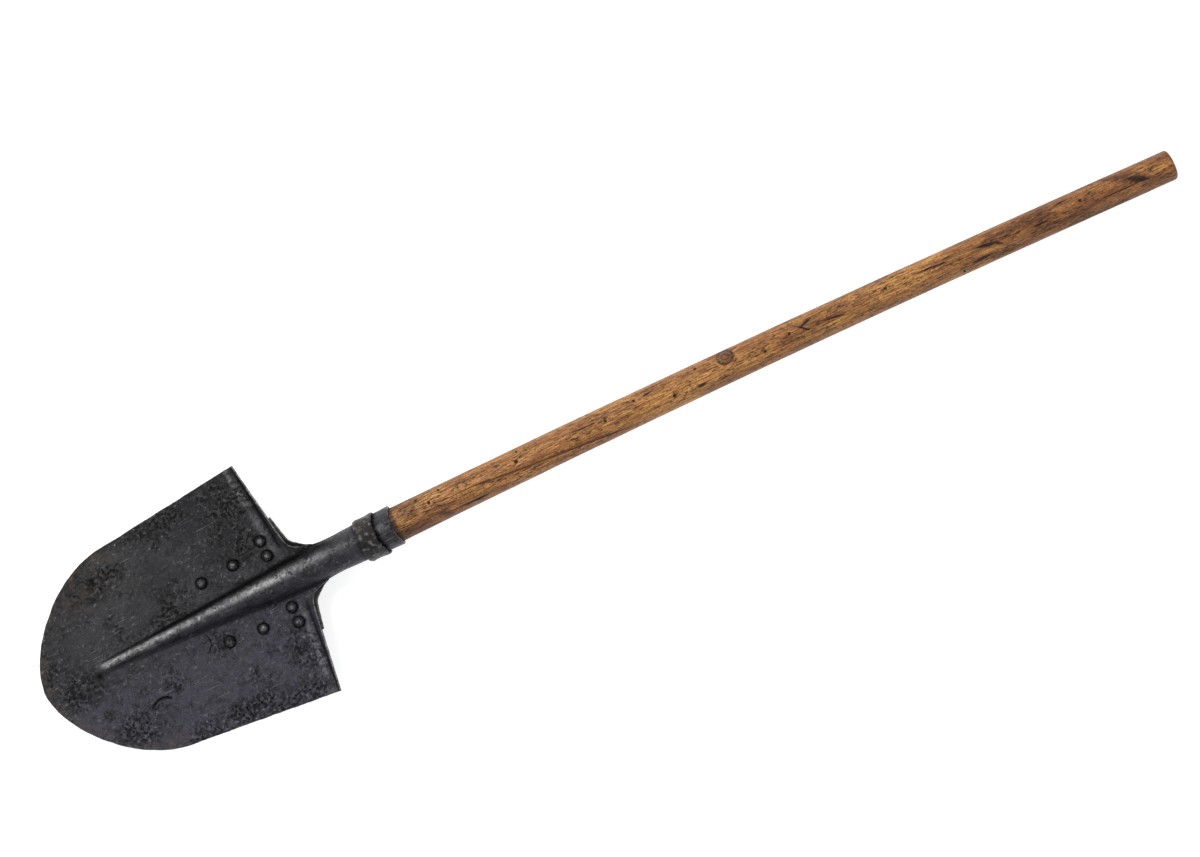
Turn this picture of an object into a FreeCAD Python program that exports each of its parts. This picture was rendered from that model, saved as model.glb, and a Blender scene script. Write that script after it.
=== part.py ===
import FreeCAD, Part
import math
import os

# Long-handled camp shovel, lying front face up.
# +X runs along the blade and socket axis from the blade's tip to the free end of the handle, +Y runs
# across the blade, +Z is up out of the front face. The origin is under the middle of the overall box.
# A "reach" is a distance in mm from the blade's tip along the axis. All sizes are in mm.

Vector = FreeCAD.Vector

# Overall
total_length = 1249.0            # blade tip to free end of the handle

# Blade sheet
sheet_thickness = 2.0
shoulder_reach = 262.5           # tip to the outer corner of a shoulder
shoulder_half_width = 125.6      # axis to the outer corner of a shoulder
side_start_reach = 110.0         # where the round nose runs into the straight side
side_spread = 17.0               # the straight side spreads by this much up to the shoulder
side_start_half_width = shoulder_half_width - side_spread
nose_bluntness = 38.2            # how far the tip's own tangent carries across the blade
nose_fullness = 58.0             # how far the side's tangent carries toward the tip
blade_lift_deg = 3.0             # the blade's face climbs toward the tip by this angle
lift_bend_length = 50.0          # the bend between the socket's line and the blade's line
blade_dish = 6.0                 # the long edges stand this much higher than the middle
nose_curl = 8.0                  # extra rise of the tip over a straight blade
nose_curl_reach = 200.0          # the curl starts here and grows toward the tip

# Tread flanges along the shoulders, turned up toward the front
tread_neck_reach = 270.5         # bend line where it ends near the neck
tread_neck_half_width = 34.0
tread_neck_run = 6.5             # how far a flange stands out past its bend line near the neck
tread_corner_run = 2.6           # the same at the outer corner
tread_angle_deg = 55.0
tread_bend_radius = 2.5          # inside radius of the bend
bend_thinning = 0.08             # the bent metal is this much thinner on each side

# Socket: front half on the blade, rear half on the back plate
socket_start_reach = 310.0       # the pressed ridge becomes a plain cone here
socket_mouth_reach = 388.5
socket_start_radius = 18.0       # outside
socket_mouth_radius = 21.3       # outside
socket_lap = 2.0                 # the cone runs this far onto the pressed ridge
socket_step = 0.15               # and stands this much proud of it
web_overlap = 0.2                # the sheet's edge meets the cone this far outside it
mouth_scoop = 3.5                # depth of the curved notch in the front half's mouth

# Web between the flanges and the socket
web_reach = 281.0                # edge of the web beside the flange's cut end
web_sweep_reach = 286.0          # its concave edge bends here
web_sweep_gap = 2.5              # distance between that bend and the socket's side
web_sweep_half_width = socket_start_radius + web_sweep_gap

# Front ridge, from the socket down to a blunt end on the blade
ridge_end_reach = 59.0
ridge_end_half_width = 5.0
ridge_neck_reach = 269.0
ridge_neck_spread = 1.5          # at the neck the ridge is this much wider than the socket on each side
ridge_neck_drop = 0.8            # and its crest lies this much lower than the socket's
ridge_neck_half_width = socket_start_radius + ridge_neck_spread
ridge_neck_height = socket_start_radius - ridge_neck_drop - sheet_thickness    # above the blade's face
ridge_width_power = 1.15
ridge_height_power = 0.85
ridge_end_foot_share = 0.40      # share of the ridge's section taken by the hollow foot curves
ridge_neck_foot_share = 0.12

# Back plate, a tongue riveted behind the blade
plate_gap = 0.15                 # clearance between the two sheets
plate_tip_reach = 166.0
plate_tip_half_width = 26.0
plate_waist_reach = 196.0
plate_waist_half_width = 46.0
plate_shoulder_round = 8.0       # how far past the tongue's tip its rounded corners reach
plate_flare_length = 45.0        # the sides run nearly straight this far past the waist
plate_flare_spread = 2.0         # and spread by this much
tab_half_width = 62.5            # outer end of the tab behind each tread flange
tab_extra = 1.6                  # a tab stands this much further than the flange in front of it
rear_ridge_end_reach = 176.0
rear_ridge_end_half_width = 7.0

# Rivets, the same four on each side: reach and distance from the axis
rivet_places = [(258.0, 45.0), (258.0, 28.7), (223.0, 35.2), (187.0, 32.8)]
rivet_head_radius = 5.6
rivet_head_height = 3.4
rivet_shank_radius = 3.0
rivet_hole_clearance = 0.1
rivet_seat_clearance = 0.06

# Ring driven over the socket
ring_start_reach = 347.0
ring_length = 25.0
ring_wall = 2.5
ring_lip = 0.7                   # raised bead near the blade-side edge
ring_lip_width = 5.0
ring_clearance = 0.15
ring_edge_radius = 0.8

# Handle
handle_radius = 18.25            # just outside the socket
handle_waist_radius = 16.5       # at the waist
handle_waist_reach = 860.0
grip_radius = 16.0               # straight round stretch at the free end
grip_length = 120.0
grip_edge_radius = 3.0
handle_bow = 16.0                # sideways drift of the free end from the socket's axis
handle_clearance = 0.8           # wood to socket wall
handle_seat_reach = 374.0        # the tapered seat starts here, inside the mouth
handle_tip_reach = 204.0         # blunt inner end of the wood
handle_tip_radius = 5.0

# Nail through the rear of the socket
nail_reach = 334.0
nail_radius = 2.0
nail_length = 24.0               # below its head
nail_head_radius = 4.5
nail_head_height = 2.0
nail_head_taper = 0.7            # outer face of the head over its inner face
nail_point_taper = 0.25          # blunt point over the shank
nail_clearance = 0.1

# Small numbers used by the shapes
flat_height = 0.02               # height left in the ridge's profile where there is no ridge
flat_spread = 0.4                # and how fast that profile widens past the ridge's end
crown_steps = 9                  # points on a ridge's crown, on its foot and on the flat wing beside it
foot_steps = 4
wing_steps = 7
station_pitch = 10.0             # distance between sections along the blade
wing_spread = 1.6                # the wing's points lie closer together near the ridge
overshoot = 8.0                  # how far a cutting block runs past what it cuts

ring_end_reach = ring_start_reach + ring_length
lift_slope = math.tan(math.radians(blade_lift_deg))
dish_factor = blade_dish / shoulder_half_width ** 2
socket_slope = (socket_mouth_radius - socket_start_radius) / (socket_mouth_reach - socket_start_reach)


def socket_radius(reach):
    """Outside radius of the socket's cone."""
    return socket_start_radius + socket_slope * (reach - socket_start_reach)


ring_top_radius = socket_radius(ring_end_reach) + ring_clearance + ring_wall
axis_height = ring_top_radius    # the ring is the lowest point, so the axis is this far up


def place(reach, across, height):
    """A point given by reach, distance across, and height above the socket's axis."""
    return Vector(reach - total_length / 2, across, height + axis_height)


def clamp01(value):
    return max(0.0, min(1.0, value))


def joint_height(reach, across):
    """Height of the surface where the blade's back meets the back plate."""
    bend = max(0.0, (socket_start_reach - reach) / lift_bend_length)
    climb = bend ** 2 / 2 if bend < 1 else bend - 0.5
    curl = nose_curl * max(0.0, 1.0 - reach / nose_curl_reach) ** 2
    fade = clamp01((socket_start_reach - reach) / (socket_start_reach - tread_neck_reach))
    dish = dish_factor * across ** 2 * fade ** 2 * (3 - 2 * fade)
    return lift_slope * lift_bend_length * climb + curl + dish


def joint_normal(reach, across):
    """Unit vector out of the front of that surface."""
    step = 0.5
    along = (joint_height(reach + step, across) - joint_height(reach - step, across)) / (2 * step)
    over = (joint_height(reach, across + step) - joint_height(reach, across - step)) / (2 * step)
    return Vector(-along, -over, 1).normalize()


# ---- Pressed sheets: sections across the blade, lofted along it ----

def front_ridge(reach):
    """Half width, crest height over the sheet and foot share of the front ridge."""
    q = clamp01((reach - ridge_end_reach) / (ridge_neck_reach - ridge_end_reach))
    half_width = ridge_end_half_width + (ridge_neck_half_width - ridge_end_half_width) * q ** ridge_width_power
    half_width += flat_spread * max(0.0, ridge_end_reach - reach)
    height = max(flat_height, ridge_neck_height * q ** ridge_height_power)
    foot = ridge_end_foot_share + (ridge_neck_foot_share - ridge_end_foot_share) * q
    return blend_to_socket(reach, half_width, height, foot)


def rear_ridge(reach):
    """The same for the rear ridge, which is pressed into the back plate."""
    q = clamp01((reach - rear_ridge_end_reach) / (ridge_neck_reach - rear_ridge_end_reach))
    half_width = rear_ridge_end_half_width + (ridge_neck_half_width - rear_ridge_end_half_width) * q
    half_width += flat_spread * max(0.0, rear_ridge_end_reach - reach)
    height = max(flat_height, ridge_neck_height * q ** ridge_height_power)
    foot = ridge_end_foot_share + (ridge_neck_foot_share - ridge_end_foot_share) * q
    return blend_to_socket(reach, half_width, height, foot)


def blend_to_socket(reach, half_width, height, foot):
    """Leads a ridge into the socket's round section, whose crown is a step smaller than the cone."""
    q = clamp01((reach - ridge_neck_reach) / (socket_start_reach - ridge_neck_reach))
    crown = socket_start_radius - socket_step
    socket_height = crown - sheet_thickness
    span = crown / (1 - ridge_neck_foot_share)
    socket_half_width = math.sqrt(2 * socket_height * span - socket_height ** 2)
    return (half_width + (socket_half_width - half_width) * q,
            height + (socket_height - height) * q, foot)


def hat_points(ridge, reach, sheet_half_width, depth):
    """Half of a hat section from its crest outward, as (across, rise over the joint surface).

    depth is 0 for the outer skin and the sheet's thickness for the inner one."""
    half_width, height, foot = ridge(reach)
    span = (half_width ** 2 + height ** 2) / (2 * height)
    crown = span * (1 - foot)
    sweep = math.acos(1 - height / span)
    centre = sheet_thickness + height - crown
    points = []
    for i in range(crown_steps + 1):
        angle = sweep * i / crown_steps
        radius = crown - depth
        points.append((radius * math.sin(angle), centre + radius * math.cos(angle)))
    foot_rise = sheet_thickness + span * foot
    for i in range(1, foot_steps + 1):
        angle = sweep * (1 - i / foot_steps)
        radius = span * foot + depth
        points.append((half_width - radius * math.sin(angle), foot_rise - radius * math.cos(angle)))
    for i in range(1, wing_steps + 1):
        share = (i / wing_steps) ** wing_spread
        across = half_width + (sheet_half_width - half_width) * share
        points.append((across, sheet_thickness - depth))
    return points


def even_steps(start, end, pitch):
    """Evenly spaced values from start up to, but without, end."""
    count = max(2, round((end - start) / pitch))
    return [start + (end - start) * i / count for i in range(count)]


def sheet_stations(start, ridge_end):
    """Reaches of the sections along a sheet, from its tip to the start of the socket."""
    return (even_steps(start, ridge_end, station_pitch)
            + even_steps(ridge_end, ridge_neck_reach, station_pitch)
            + even_steps(ridge_neck_reach, socket_start_reach, station_pitch)
            + [socket_start_reach])


def skin_surface(ridge, reaches, sheet_half_width, side, offset, depth):
    """One skin of a pressed sheet: side is 1 for the blade, -1 for the back plate behind it."""
    rows = []
    for reach in reaches:
        half = hat_points(ridge, reach, sheet_half_width, depth)
        full = [(-across, rise) for across, rise in reversed(half[1:])] + half
        rows.append([place(reach, across, joint_height(reach, across) + side * (rise + offset))
                     for across, rise in full])
    surface = Part.BSplineSurface()
    surface.interpolate(rows)
    return surface


def rim_edges(surface):
    """The four boundary curves of a surface."""
    u_start, u_end, v_start, v_end = surface.bounds()
    curves = [surface.uIso(u_start), surface.uIso(u_end), surface.vIso(v_start), surface.vIso(v_end)]
    return [curve.toShape() for curve in curves]


def pressed_sheet(ridge, reaches, sheet_half_width, side, offset):
    """Closed solid between the two skins."""
    outer = skin_surface(ridge, reaches, sheet_half_width, side, offset, 0.0)
    inner = skin_surface(ridge, reaches, sheet_half_width, side, offset, sheet_thickness)
    faces = [outer.toShape(), inner.toShape()]
    for outer_rim, inner_rim in zip(rim_edges(outer), rim_edges(inner)):
        faces.append(Part.makeRuledSurface(outer_rim, inner_rim))
    shell = Part.makeShell(faces)
    shell.sewShape()
    solid = Part.makeSolid(Part.Shell(shell.Faces))
    if solid.Volume < 0:
        solid.reverse()
    return solid


def upright_prism(edges):
    """A tall block whose plan is the closed outline."""
    tall = 200.0
    face = Part.Face(Part.Wire(edges))
    face.translate(Vector(0, 0, -tall / 2))
    return face.extrude(Vector(0, 0, tall))


def tread_bend_reach(across):
    """Reach of the bend line of the tread flange."""
    slope = (tread_neck_reach - shoulder_reach) / (shoulder_half_width - tread_neck_half_width)
    return tread_neck_reach - slope * (abs(across) - tread_neck_half_width)


def tread_run(across):
    """How far the flange stands out past its bend line."""
    q = (abs(across) - tread_neck_half_width) / (shoulder_half_width - tread_neck_half_width)
    return tread_neck_run + (tread_corner_run - tread_neck_run) * q


def bezier_edge(poles):
    curve = Part.BezierCurve()
    curve.setPoles(poles)
    return curve.toShape()


def neck_edges(side):
    """Edges of one side from the flange's cut end, round the web, to the start of the socket."""
    socket_edge = socket_start_radius + web_overlap
    bend = place(tread_neck_reach, side * tread_neck_half_width, 0)
    web = place(web_reach, side * (tread_neck_half_width - 1), 0)
    sweep = place(web_sweep_reach, side * web_sweep_half_width, 0)
    end = place(socket_start_reach, side * socket_edge, 0)
    return [Part.makeLine(bend, web), bezier_edge([web, sweep, end])]


def mirrored_outline(half_edges_of):
    """Closed outline from a function that gives one side's edges, from the tip to the socket."""
    left = half_edges_of(-1)
    right = half_edges_of(1)
    left_end = left[-1].Vertexes[-1].Point
    right_end = right[-1].Vertexes[-1].Point
    return Part.__sortEdges__(left + right + [Part.makeLine(left_end, right_end)])


def blade_half_edges(side):
    tip = place(0, 0, 0)
    tip_pole = place(0, side * nose_bluntness, 0)
    side_slope = (shoulder_half_width - side_start_half_width) / (shoulder_reach - side_start_reach)
    side_pole = place(side_start_reach - nose_fullness,
                      side * (side_start_half_width - nose_fullness * side_slope), 0)
    side_start = place(side_start_reach, side * side_start_half_width, 0)
    corner = place(shoulder_reach, side * shoulder_half_width, 0)
    bend = place(tread_neck_reach, side * tread_neck_half_width, 0)
    return [
        bezier_edge([tip, tip_pole, side_pole, side_start]),
        Part.makeLine(side_start, corner),
        Part.makeLine(corner, bend),
    ] + neck_edges(side)


def plate_half_edges(side):
    tip = place(plate_tip_reach, 0, 0)
    tip_pole = place(plate_tip_reach, side * plate_tip_half_width, 0)
    waist_pole = place(plate_tip_reach + plate_shoulder_round, side * plate_waist_half_width, 0)
    waist = place(plate_waist_reach, side * plate_waist_half_width, 0)
    flare_pole = place(plate_waist_reach + plate_flare_length,
                       side * (plate_waist_half_width + plate_flare_spread), 0)
    tab = place(tread_bend_reach(tab_half_width), side * tab_half_width, 0)
    bend = place(tread_neck_reach, side * tread_neck_half_width, 0)
    return [
        bezier_edge([tip, tip_pole, waist_pole, waist]),
        bezier_edge([waist, flare_pole, tab]),
        Part.makeLine(tab, bend),
    ] + neck_edges(side)


def flange_wire(across, outward, extra, side):
    """Section of an upturned flange. outward is how far its front skin lies behind the blade's."""
    angle = math.radians(tread_angle_deg)
    base = tread_bend_reach(across)
    centre_height = joint_height(base, across) + sheet_thickness + tread_bend_radius
    leg = extra + (tread_run(across) - tread_bend_radius * math.sin(angle)) / math.cos(angle)

    def at(radius, turn, along):
        reach = base + radius * math.sin(turn) + along * math.cos(turn)
        height = centre_height - radius * math.cos(turn) + along * math.sin(turn)
        return place(reach, side * across, height)

    inner = tread_bend_radius + outward + bend_thinning
    outer = tread_bend_radius + outward + sheet_thickness - bend_thinning
    return Part.Wire([
        Part.Arc(at(inner, 0, 0), at(inner, angle / 2, 0), at(inner, angle, 0)).toShape(),
        Part.makeLine(at(inner, angle, 0), at(inner, angle, leg)),
        Part.makeLine(at(inner, angle, leg), at(outer, angle, leg)),
        Part.makeLine(at(outer, angle, leg), at(outer, angle, 0)),
        Part.Arc(at(outer, angle, 0), at(outer, angle / 2, 0), at(outer, 0, 0)).toShape(),
        Part.makeLine(at(outer, 0, 0), at(inner, 0, 0)),
    ])


def flange(side, outer_end, outward, extra):
    stations = 5
    span = outer_end - tread_neck_half_width
    wires = [flange_wire(tread_neck_half_width + span * i / (stations - 1), outward, extra, side)
             for i in range(stations)]
    return Part.makeLoft(wires, True, False)


def axial_cone(start, end, start_radius, end_radius):
    return Part.makeCone(start_radius, end_radius, end - start, place(start, 0, 0), Vector(1, 0, 0))


def half_socket(side):
    """Half of the socket's cone, above (1) or below (-1) the joint."""
    start = socket_start_reach - socket_lap
    start_radius = socket_radius(start)
    outer = axial_cone(start, socket_mouth_reach, start_radius, socket_mouth_radius)
    inner = axial_cone(start, socket_mouth_reach, start_radius - sheet_thickness,
                       socket_mouth_radius - sheet_thickness)
    length = socket_mouth_reach - start + 2 * overshoot
    width = 2 * (socket_mouth_radius + overshoot)
    height = socket_mouth_radius + overshoot
    base = 0.0 if side > 0 else -height - plate_gap
    keep = Part.makeBox(length, width, height, place(start - overshoot, -width / 2, base))
    return outer.cut(inner).common(keep)


def mouth_cutter():
    """Upright drum that scoops the front half's mouth."""
    radius = (socket_mouth_radius ** 2 + mouth_scoop ** 2) / (2 * mouth_scoop)
    centre = socket_mouth_reach - mouth_scoop + radius
    height = socket_mouth_radius + overshoot
    return Part.makeCylinder(radius, height, place(centre, 0, -plate_gap / 2))


# ---- Rivets ----

def rivet_axis(reach, across):
    """Where the rivet crosses the joint surface, and its direction."""
    return place(reach, across, joint_height(reach, across)), joint_normal(reach, across)


def rivet_hole(reach, across):
    centre, normal = rivet_axis(reach, across)
    length = 4 * sheet_thickness
    radius = rivet_shank_radius + rivet_hole_clearance
    return Part.makeCylinder(radius, 2 * length, centre - normal * length, normal)


def rivet_head(seat, direction):
    """Round head on a flat seat, the cap of a larger ball."""
    ball = (rivet_head_radius ** 2 + rivet_head_height ** 2) / (2 * rivet_head_height)
    ball_centre = seat + direction * (rivet_head_height - ball)
    block = Part.makeCylinder(rivet_head_radius + 1, rivet_head_height + 1, seat, direction)
    return Part.makeSphere(ball, ball_centre).common(block)


def make_rivet(reach, across):
    centre, normal = rivet_axis(reach, across)
    front = centre + normal * (sheet_thickness + rivet_seat_clearance)
    back = centre - normal * (sheet_thickness + plate_gap + rivet_seat_clearance)
    shank = Part.makeCylinder(rivet_shank_radius, (front - back).Length, back, normal)
    return shank.fuse([rivet_head(front, normal), rivet_head(back, -normal)]).removeSplitter()


# ---- Handle ----

def handle_centre(reach):
    """Centre of the pole outside the socket: it drifts sideways on a long gentle arc."""
    span = total_length - grip_length - socket_mouth_reach
    q = max(0.0, reach - socket_mouth_reach) / span
    arc_drift = handle_bow * span / (span + 2 * grip_length)
    return place(reach, -arc_drift * q * q, 0)


def handle_direction(reach):
    span = total_length - grip_length - socket_mouth_reach
    q = max(0.0, reach - socket_mouth_reach) / span
    arc_drift = handle_bow * span / (span + 2 * grip_length)
    return Vector(1, -2 * arc_drift * q / span, 0).normalize()


def disc_wire(centre, radius, direction):
    return Part.Wire(Part.makeCircle(radius, centre, direction))


def make_handle():
    grip_reach = total_length - grip_length
    seat_radius = socket_radius(handle_seat_reach) - sheet_thickness - handle_clearance
    root_radius = socket_start_radius - sheet_thickness - handle_clearance
    tip_height = (joint_height(handle_tip_reach, 0) + front_ridge(handle_tip_reach)[1] / 2
                  - rear_ridge(handle_tip_reach)[1] / 2)
    along = Vector(1, 0, 0)

    point = Part.makeLoft([
        disc_wire(place(handle_tip_reach, 0, tip_height), handle_tip_radius, along),
        disc_wire(place(socket_start_reach, 0, 0), root_radius, along),
    ], True, True)
    seat = axial_cone(socket_start_reach, handle_seat_reach, root_radius, seat_radius)
    throat = axial_cone(handle_seat_reach, socket_mouth_reach, seat_radius, handle_radius)

    pole_stations = [
        (socket_mouth_reach, handle_radius),
        ((socket_mouth_reach + handle_waist_reach) / 2, (handle_radius + handle_waist_radius) / 2),
        (handle_waist_reach, handle_waist_radius),
        (grip_reach, grip_radius),
    ]
    pole = Part.makeLoft([disc_wire(handle_centre(reach), radius, handle_direction(reach))
                          for reach, radius in pole_stations], True, False)

    end_direction = handle_direction(grip_reach)
    end_lean = abs(end_direction.y)
    rim_overhang = (grip_radius - grip_edge_radius) * end_lean + grip_edge_radius * (1 - end_direction.x)
    run = (grip_length - rim_overhang) / end_direction.x
    grip = Part.makeCylinder(grip_radius, run, handle_centre(grip_reach), end_direction)
    rim = [edge for edge in grip.Edges
           if edge.Closed and edge.CenterOfMass.x > place(total_length, 0, 0).x - 1.0]
    grip = grip.makeFillet(grip_edge_radius, rim)
    body = point.fuse([seat, throat, pole, grip]).removeSplitter()
    return body.cut(nail_hole())


# ---- Ring and nail ----

def make_ring():
    inner_start = socket_radius(ring_start_reach) + ring_clearance
    inner_end = socket_radius(ring_end_reach) + ring_clearance
    lip_end = ring_start_reach + ring_lip_width
    outer_start = inner_start + ring_wall - ring_edge_radius
    lip_radius = socket_radius(lip_end) + ring_clearance + ring_wall
    profile = Part.makePolygon([
        place(ring_start_reach, 0, inner_start),
        place(ring_start_reach, 0, outer_start),
        place(ring_start_reach + ring_edge_radius, 0, inner_start + ring_wall),
        place(ring_start_reach + ring_lip_width / 2, 0, lip_radius),
        place(lip_end, 0, lip_radius - ring_lip / 2),
        place(ring_end_reach - ring_edge_radius, 0, ring_top_radius),
        place(ring_end_reach, 0, ring_top_radius - ring_edge_radius),
        place(ring_end_reach, 0, inner_end),
        place(ring_start_reach, 0, inner_start),
    ])
    return Part.Face(profile).revolve(place(0, 0, 0), Vector(1, 0, 0), 360)


def nail_seat():
    """Point under the nail's head, on the rear of the socket."""
    return place(nail_reach, 0, -socket_radius(nail_reach + nail_head_radius) - nail_clearance)


def nail_hole():
    start = nail_seat() - Vector(0, 0, overshoot)
    return Part.makeCylinder(nail_radius + nail_clearance, overshoot + nail_length + nail_clearance, start)


def make_nail():
    point_length = 2 * nail_radius
    straight = Part.makeCylinder(nail_radius, nail_length - point_length, nail_seat())
    point = Part.makeCone(nail_radius, nail_radius * nail_point_taper, point_length,
                          nail_seat() + Vector(0, 0, nail_length - point_length))
    head = Part.makeCone(nail_head_radius, nail_head_radius * nail_head_taper, nail_head_height, nail_seat(),
                         Vector(0, 0, -1))
    return straight.fuse([point, head]).removeSplitter()


# ---- Blade and back plate ----

def make_blade():
    reaches = sheet_stations(-overshoot, ridge_end_reach)
    sheet_half_width = shoulder_half_width + overshoot
    sheet = pressed_sheet(front_ridge, reaches, sheet_half_width, 1, 0.0)
    sheet = sheet.common(upright_prism(mirrored_outline(blade_half_edges)))
    body = sheet.fuse([
        half_socket(1).cut(mouth_cutter()),
        flange(1, shoulder_half_width, 0.0, 0.0),
        flange(-1, shoulder_half_width, 0.0, 0.0),
    ])
    for reach, across in rivet_places:
        for side in (1, -1):
            body = body.cut(rivet_hole(reach, side * across))
    return body.removeSplitter()


def make_back_plate():
    reaches = sheet_stations(plate_tip_reach - overshoot, rear_ridge_end_reach)
    sheet_half_width = tab_half_width + overshoot
    sheet = pressed_sheet(rear_ridge, reaches, sheet_half_width, -1, plate_gap)
    sheet = sheet.common(upright_prism(mirrored_outline(plate_half_edges)))
    outward = sheet_thickness + plate_gap
    body = sheet.fuse([
        half_socket(-1),
        flange(1, tab_half_width, outward, tab_extra),
        flange(-1, tab_half_width, outward, tab_extra),
    ])
    for reach, across in rivet_places:
        for side in (1, -1):
            body = body.cut(rivet_hole(reach, side * across))
    return body.cut(nail_hole()).removeSplitter()


def main():
    shapes = {
        "blade": make_blade(),
        "back_plate": make_back_plate(),
        "socket_ring": make_ring(),
        "handle": make_handle(),
        "socket_nail": make_nail(),
    }
    for name, side in (("right", 1), ("left", -1)):
        for number, (reach, across) in enumerate(rivet_places, start=1):
            shapes["rivet_%s_%d" % (name, number)] = make_rivet(reach, side * across)
    os.makedirs("parts", exist_ok=True)
    for node, shape in shapes.items():
        shape.exportStep("parts/%s.step" % node)
        box = shape.BoundBox
        print("%-14s valid %s solids %d volume %8.0f  x %.1f..%.1f  y %.1f..%.1f  z %.1f..%.1f" % (
            node, shape.isValid(), len(shape.Solids), shape.Volume,
            box.XMin, box.XMax, box.YMin, box.YMax, box.ZMin, box.ZMax))


main()
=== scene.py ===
# %% [markdown]
# # An old camp shovel with a riveted blade
#
# The shovel is a round-nosed blade pressed from 2 mm steel, a second plate riveted behind it, a socket
# whose front half belongs to the blade and whose rear half belongs to the plate, a forged ring driven
# over both halves, and a long ash-like pole that has bowed a little with age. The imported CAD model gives
# the frame: where everything is and how large. This script builds the detailed pieces in that frame.

# %% Load the frame
import math

import bpy
import numpy as np
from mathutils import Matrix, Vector, noise


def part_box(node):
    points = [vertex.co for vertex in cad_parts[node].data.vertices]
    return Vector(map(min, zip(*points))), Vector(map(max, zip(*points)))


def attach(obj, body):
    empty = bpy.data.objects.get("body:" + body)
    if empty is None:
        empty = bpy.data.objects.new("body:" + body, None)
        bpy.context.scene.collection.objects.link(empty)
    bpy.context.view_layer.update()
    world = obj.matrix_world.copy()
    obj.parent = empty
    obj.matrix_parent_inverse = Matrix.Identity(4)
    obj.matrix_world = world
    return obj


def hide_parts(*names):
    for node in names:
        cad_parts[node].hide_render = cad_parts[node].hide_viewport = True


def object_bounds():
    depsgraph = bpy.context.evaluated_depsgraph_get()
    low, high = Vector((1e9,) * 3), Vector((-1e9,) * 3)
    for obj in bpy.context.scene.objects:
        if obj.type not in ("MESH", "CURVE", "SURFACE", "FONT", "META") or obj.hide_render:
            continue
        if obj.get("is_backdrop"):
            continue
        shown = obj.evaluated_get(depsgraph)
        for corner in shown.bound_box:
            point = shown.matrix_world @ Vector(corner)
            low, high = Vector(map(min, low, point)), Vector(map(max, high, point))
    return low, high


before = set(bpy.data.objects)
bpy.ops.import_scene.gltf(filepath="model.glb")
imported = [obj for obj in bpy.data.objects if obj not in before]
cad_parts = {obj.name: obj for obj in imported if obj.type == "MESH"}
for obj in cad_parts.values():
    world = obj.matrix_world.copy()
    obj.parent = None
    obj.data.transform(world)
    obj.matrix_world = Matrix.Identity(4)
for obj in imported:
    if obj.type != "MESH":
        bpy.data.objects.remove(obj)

cad_low, cad_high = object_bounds()
print("CAD box in mm:", [round(1000 * (b - a), 1) for a, b in zip(cad_low, cad_high)])

# %% [markdown]
# ## The sizes that all pieces share
#
# The real object is laid out from its tip: a smith would measure "so far up from the tip, so far to the
# side". So every shape here is worked out as a reach from the tip, a distance across and a height over
# the socket's axis, all in millimetres, and one function turns those into the frame's metres. Four facts
# come from the frame itself: where the tip is, how high the socket's axis lies, how long the shovel is
# and how wide its blade is.

# %% Sizes
MM = 0.001
TIP_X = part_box("blade")[0].x
AXIS_Z = (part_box("socket_ring")[0].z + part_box("socket_ring")[1].z) / 2
LENGTH = (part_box("handle")[1].x - TIP_X) / MM
HALF_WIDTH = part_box("blade")[1].y / MM

SHEET = 2.0                  # thickness of the blade and of the plate behind it
PLATE_GAP = 0.15
SHOULDER = 262.5             # reach of a shoulder's outer corner
SOCKET_START, SOCKET_END = 310.0, 388.5
SOCKET_RADII = (18.0, 21.3)
RIVETS = [(258.0, 45.0), (258.0, 28.7), (223.0, 35.2), (187.0, 32.8)]
print("total length %.1f mm, axis %.2f mm up, half width %.1f mm" % (LENGTH, AXIS_Z / MM, HALF_WIDTH))


def place(reach, across, height):
    """Frame coordinates in metres, from arrays or numbers in mm."""
    reach, across, height = np.broadcast_arrays(reach, across, height)
    return np.stack([TIP_X + reach * MM, across * MM, AXIS_Z + height * MM], axis=-1)


def smooth(value, low, high):
    """0 below low, 1 above high, and an even S-shaped climb between them."""
    q = np.clip((np.asarray(value, float) - low) / (high - low), 0, 1)
    return q * q * (3 - 2 * q)


def hump(value, middle, width):
    """1 at middle, and a soft fall to nothing on both sides of it."""
    return np.exp(-((value - middle) / width) ** 2)


def socket_radius(reach):
    share = (np.asarray(reach, float) - SOCKET_START) / (SOCKET_END - SOCKET_START)
    return SOCKET_RADII[0] + (SOCKET_RADII[1] - SOCKET_RADII[0]) * share


def lumps(points, size, seed):
    """Smooth random values from about -1 to 1 at points, with features of about size in their unit."""
    shift = Vector((seed * 7.31, seed * 3.17, seed * 5.77))
    flat = np.asarray(points, float).reshape(-1, 3) / size
    values = [noise.noise(Vector(p) + shift) for p in flat]
    return np.array(values).reshape(np.shape(points)[:-1])


# %% [markdown]
# ## Turning grids of points into closed metal and wood
#
# Pressed sheet is one skin, a second skin one thickness below it, and a narrow edge between them that use
# has rounded. It could be a Solidify modifier, but that leaves a sharp square edge. Here the second skin
# and four loops round the edge are made in code, so light catches the edge as it does on real steel.
# Turned shapes, such as the pole and the ring, are rings of points joined row by row.

# %% Mesh helpers
def grid_faces(rows, columns, first=0, closed=False):
    """Quads between neighbouring rows of a grid whose points are numbered row by row."""
    across = columns if closed else columns - 1
    r, c = np.meshgrid(np.arange(rows - 1), np.arange(across), indexing="ij")
    here, beside = r * columns + c, r * columns + (c + 1) % columns
    return (first + np.stack([here, beside, beside + columns, here + columns], -1)).reshape(-1, 4)


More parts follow.
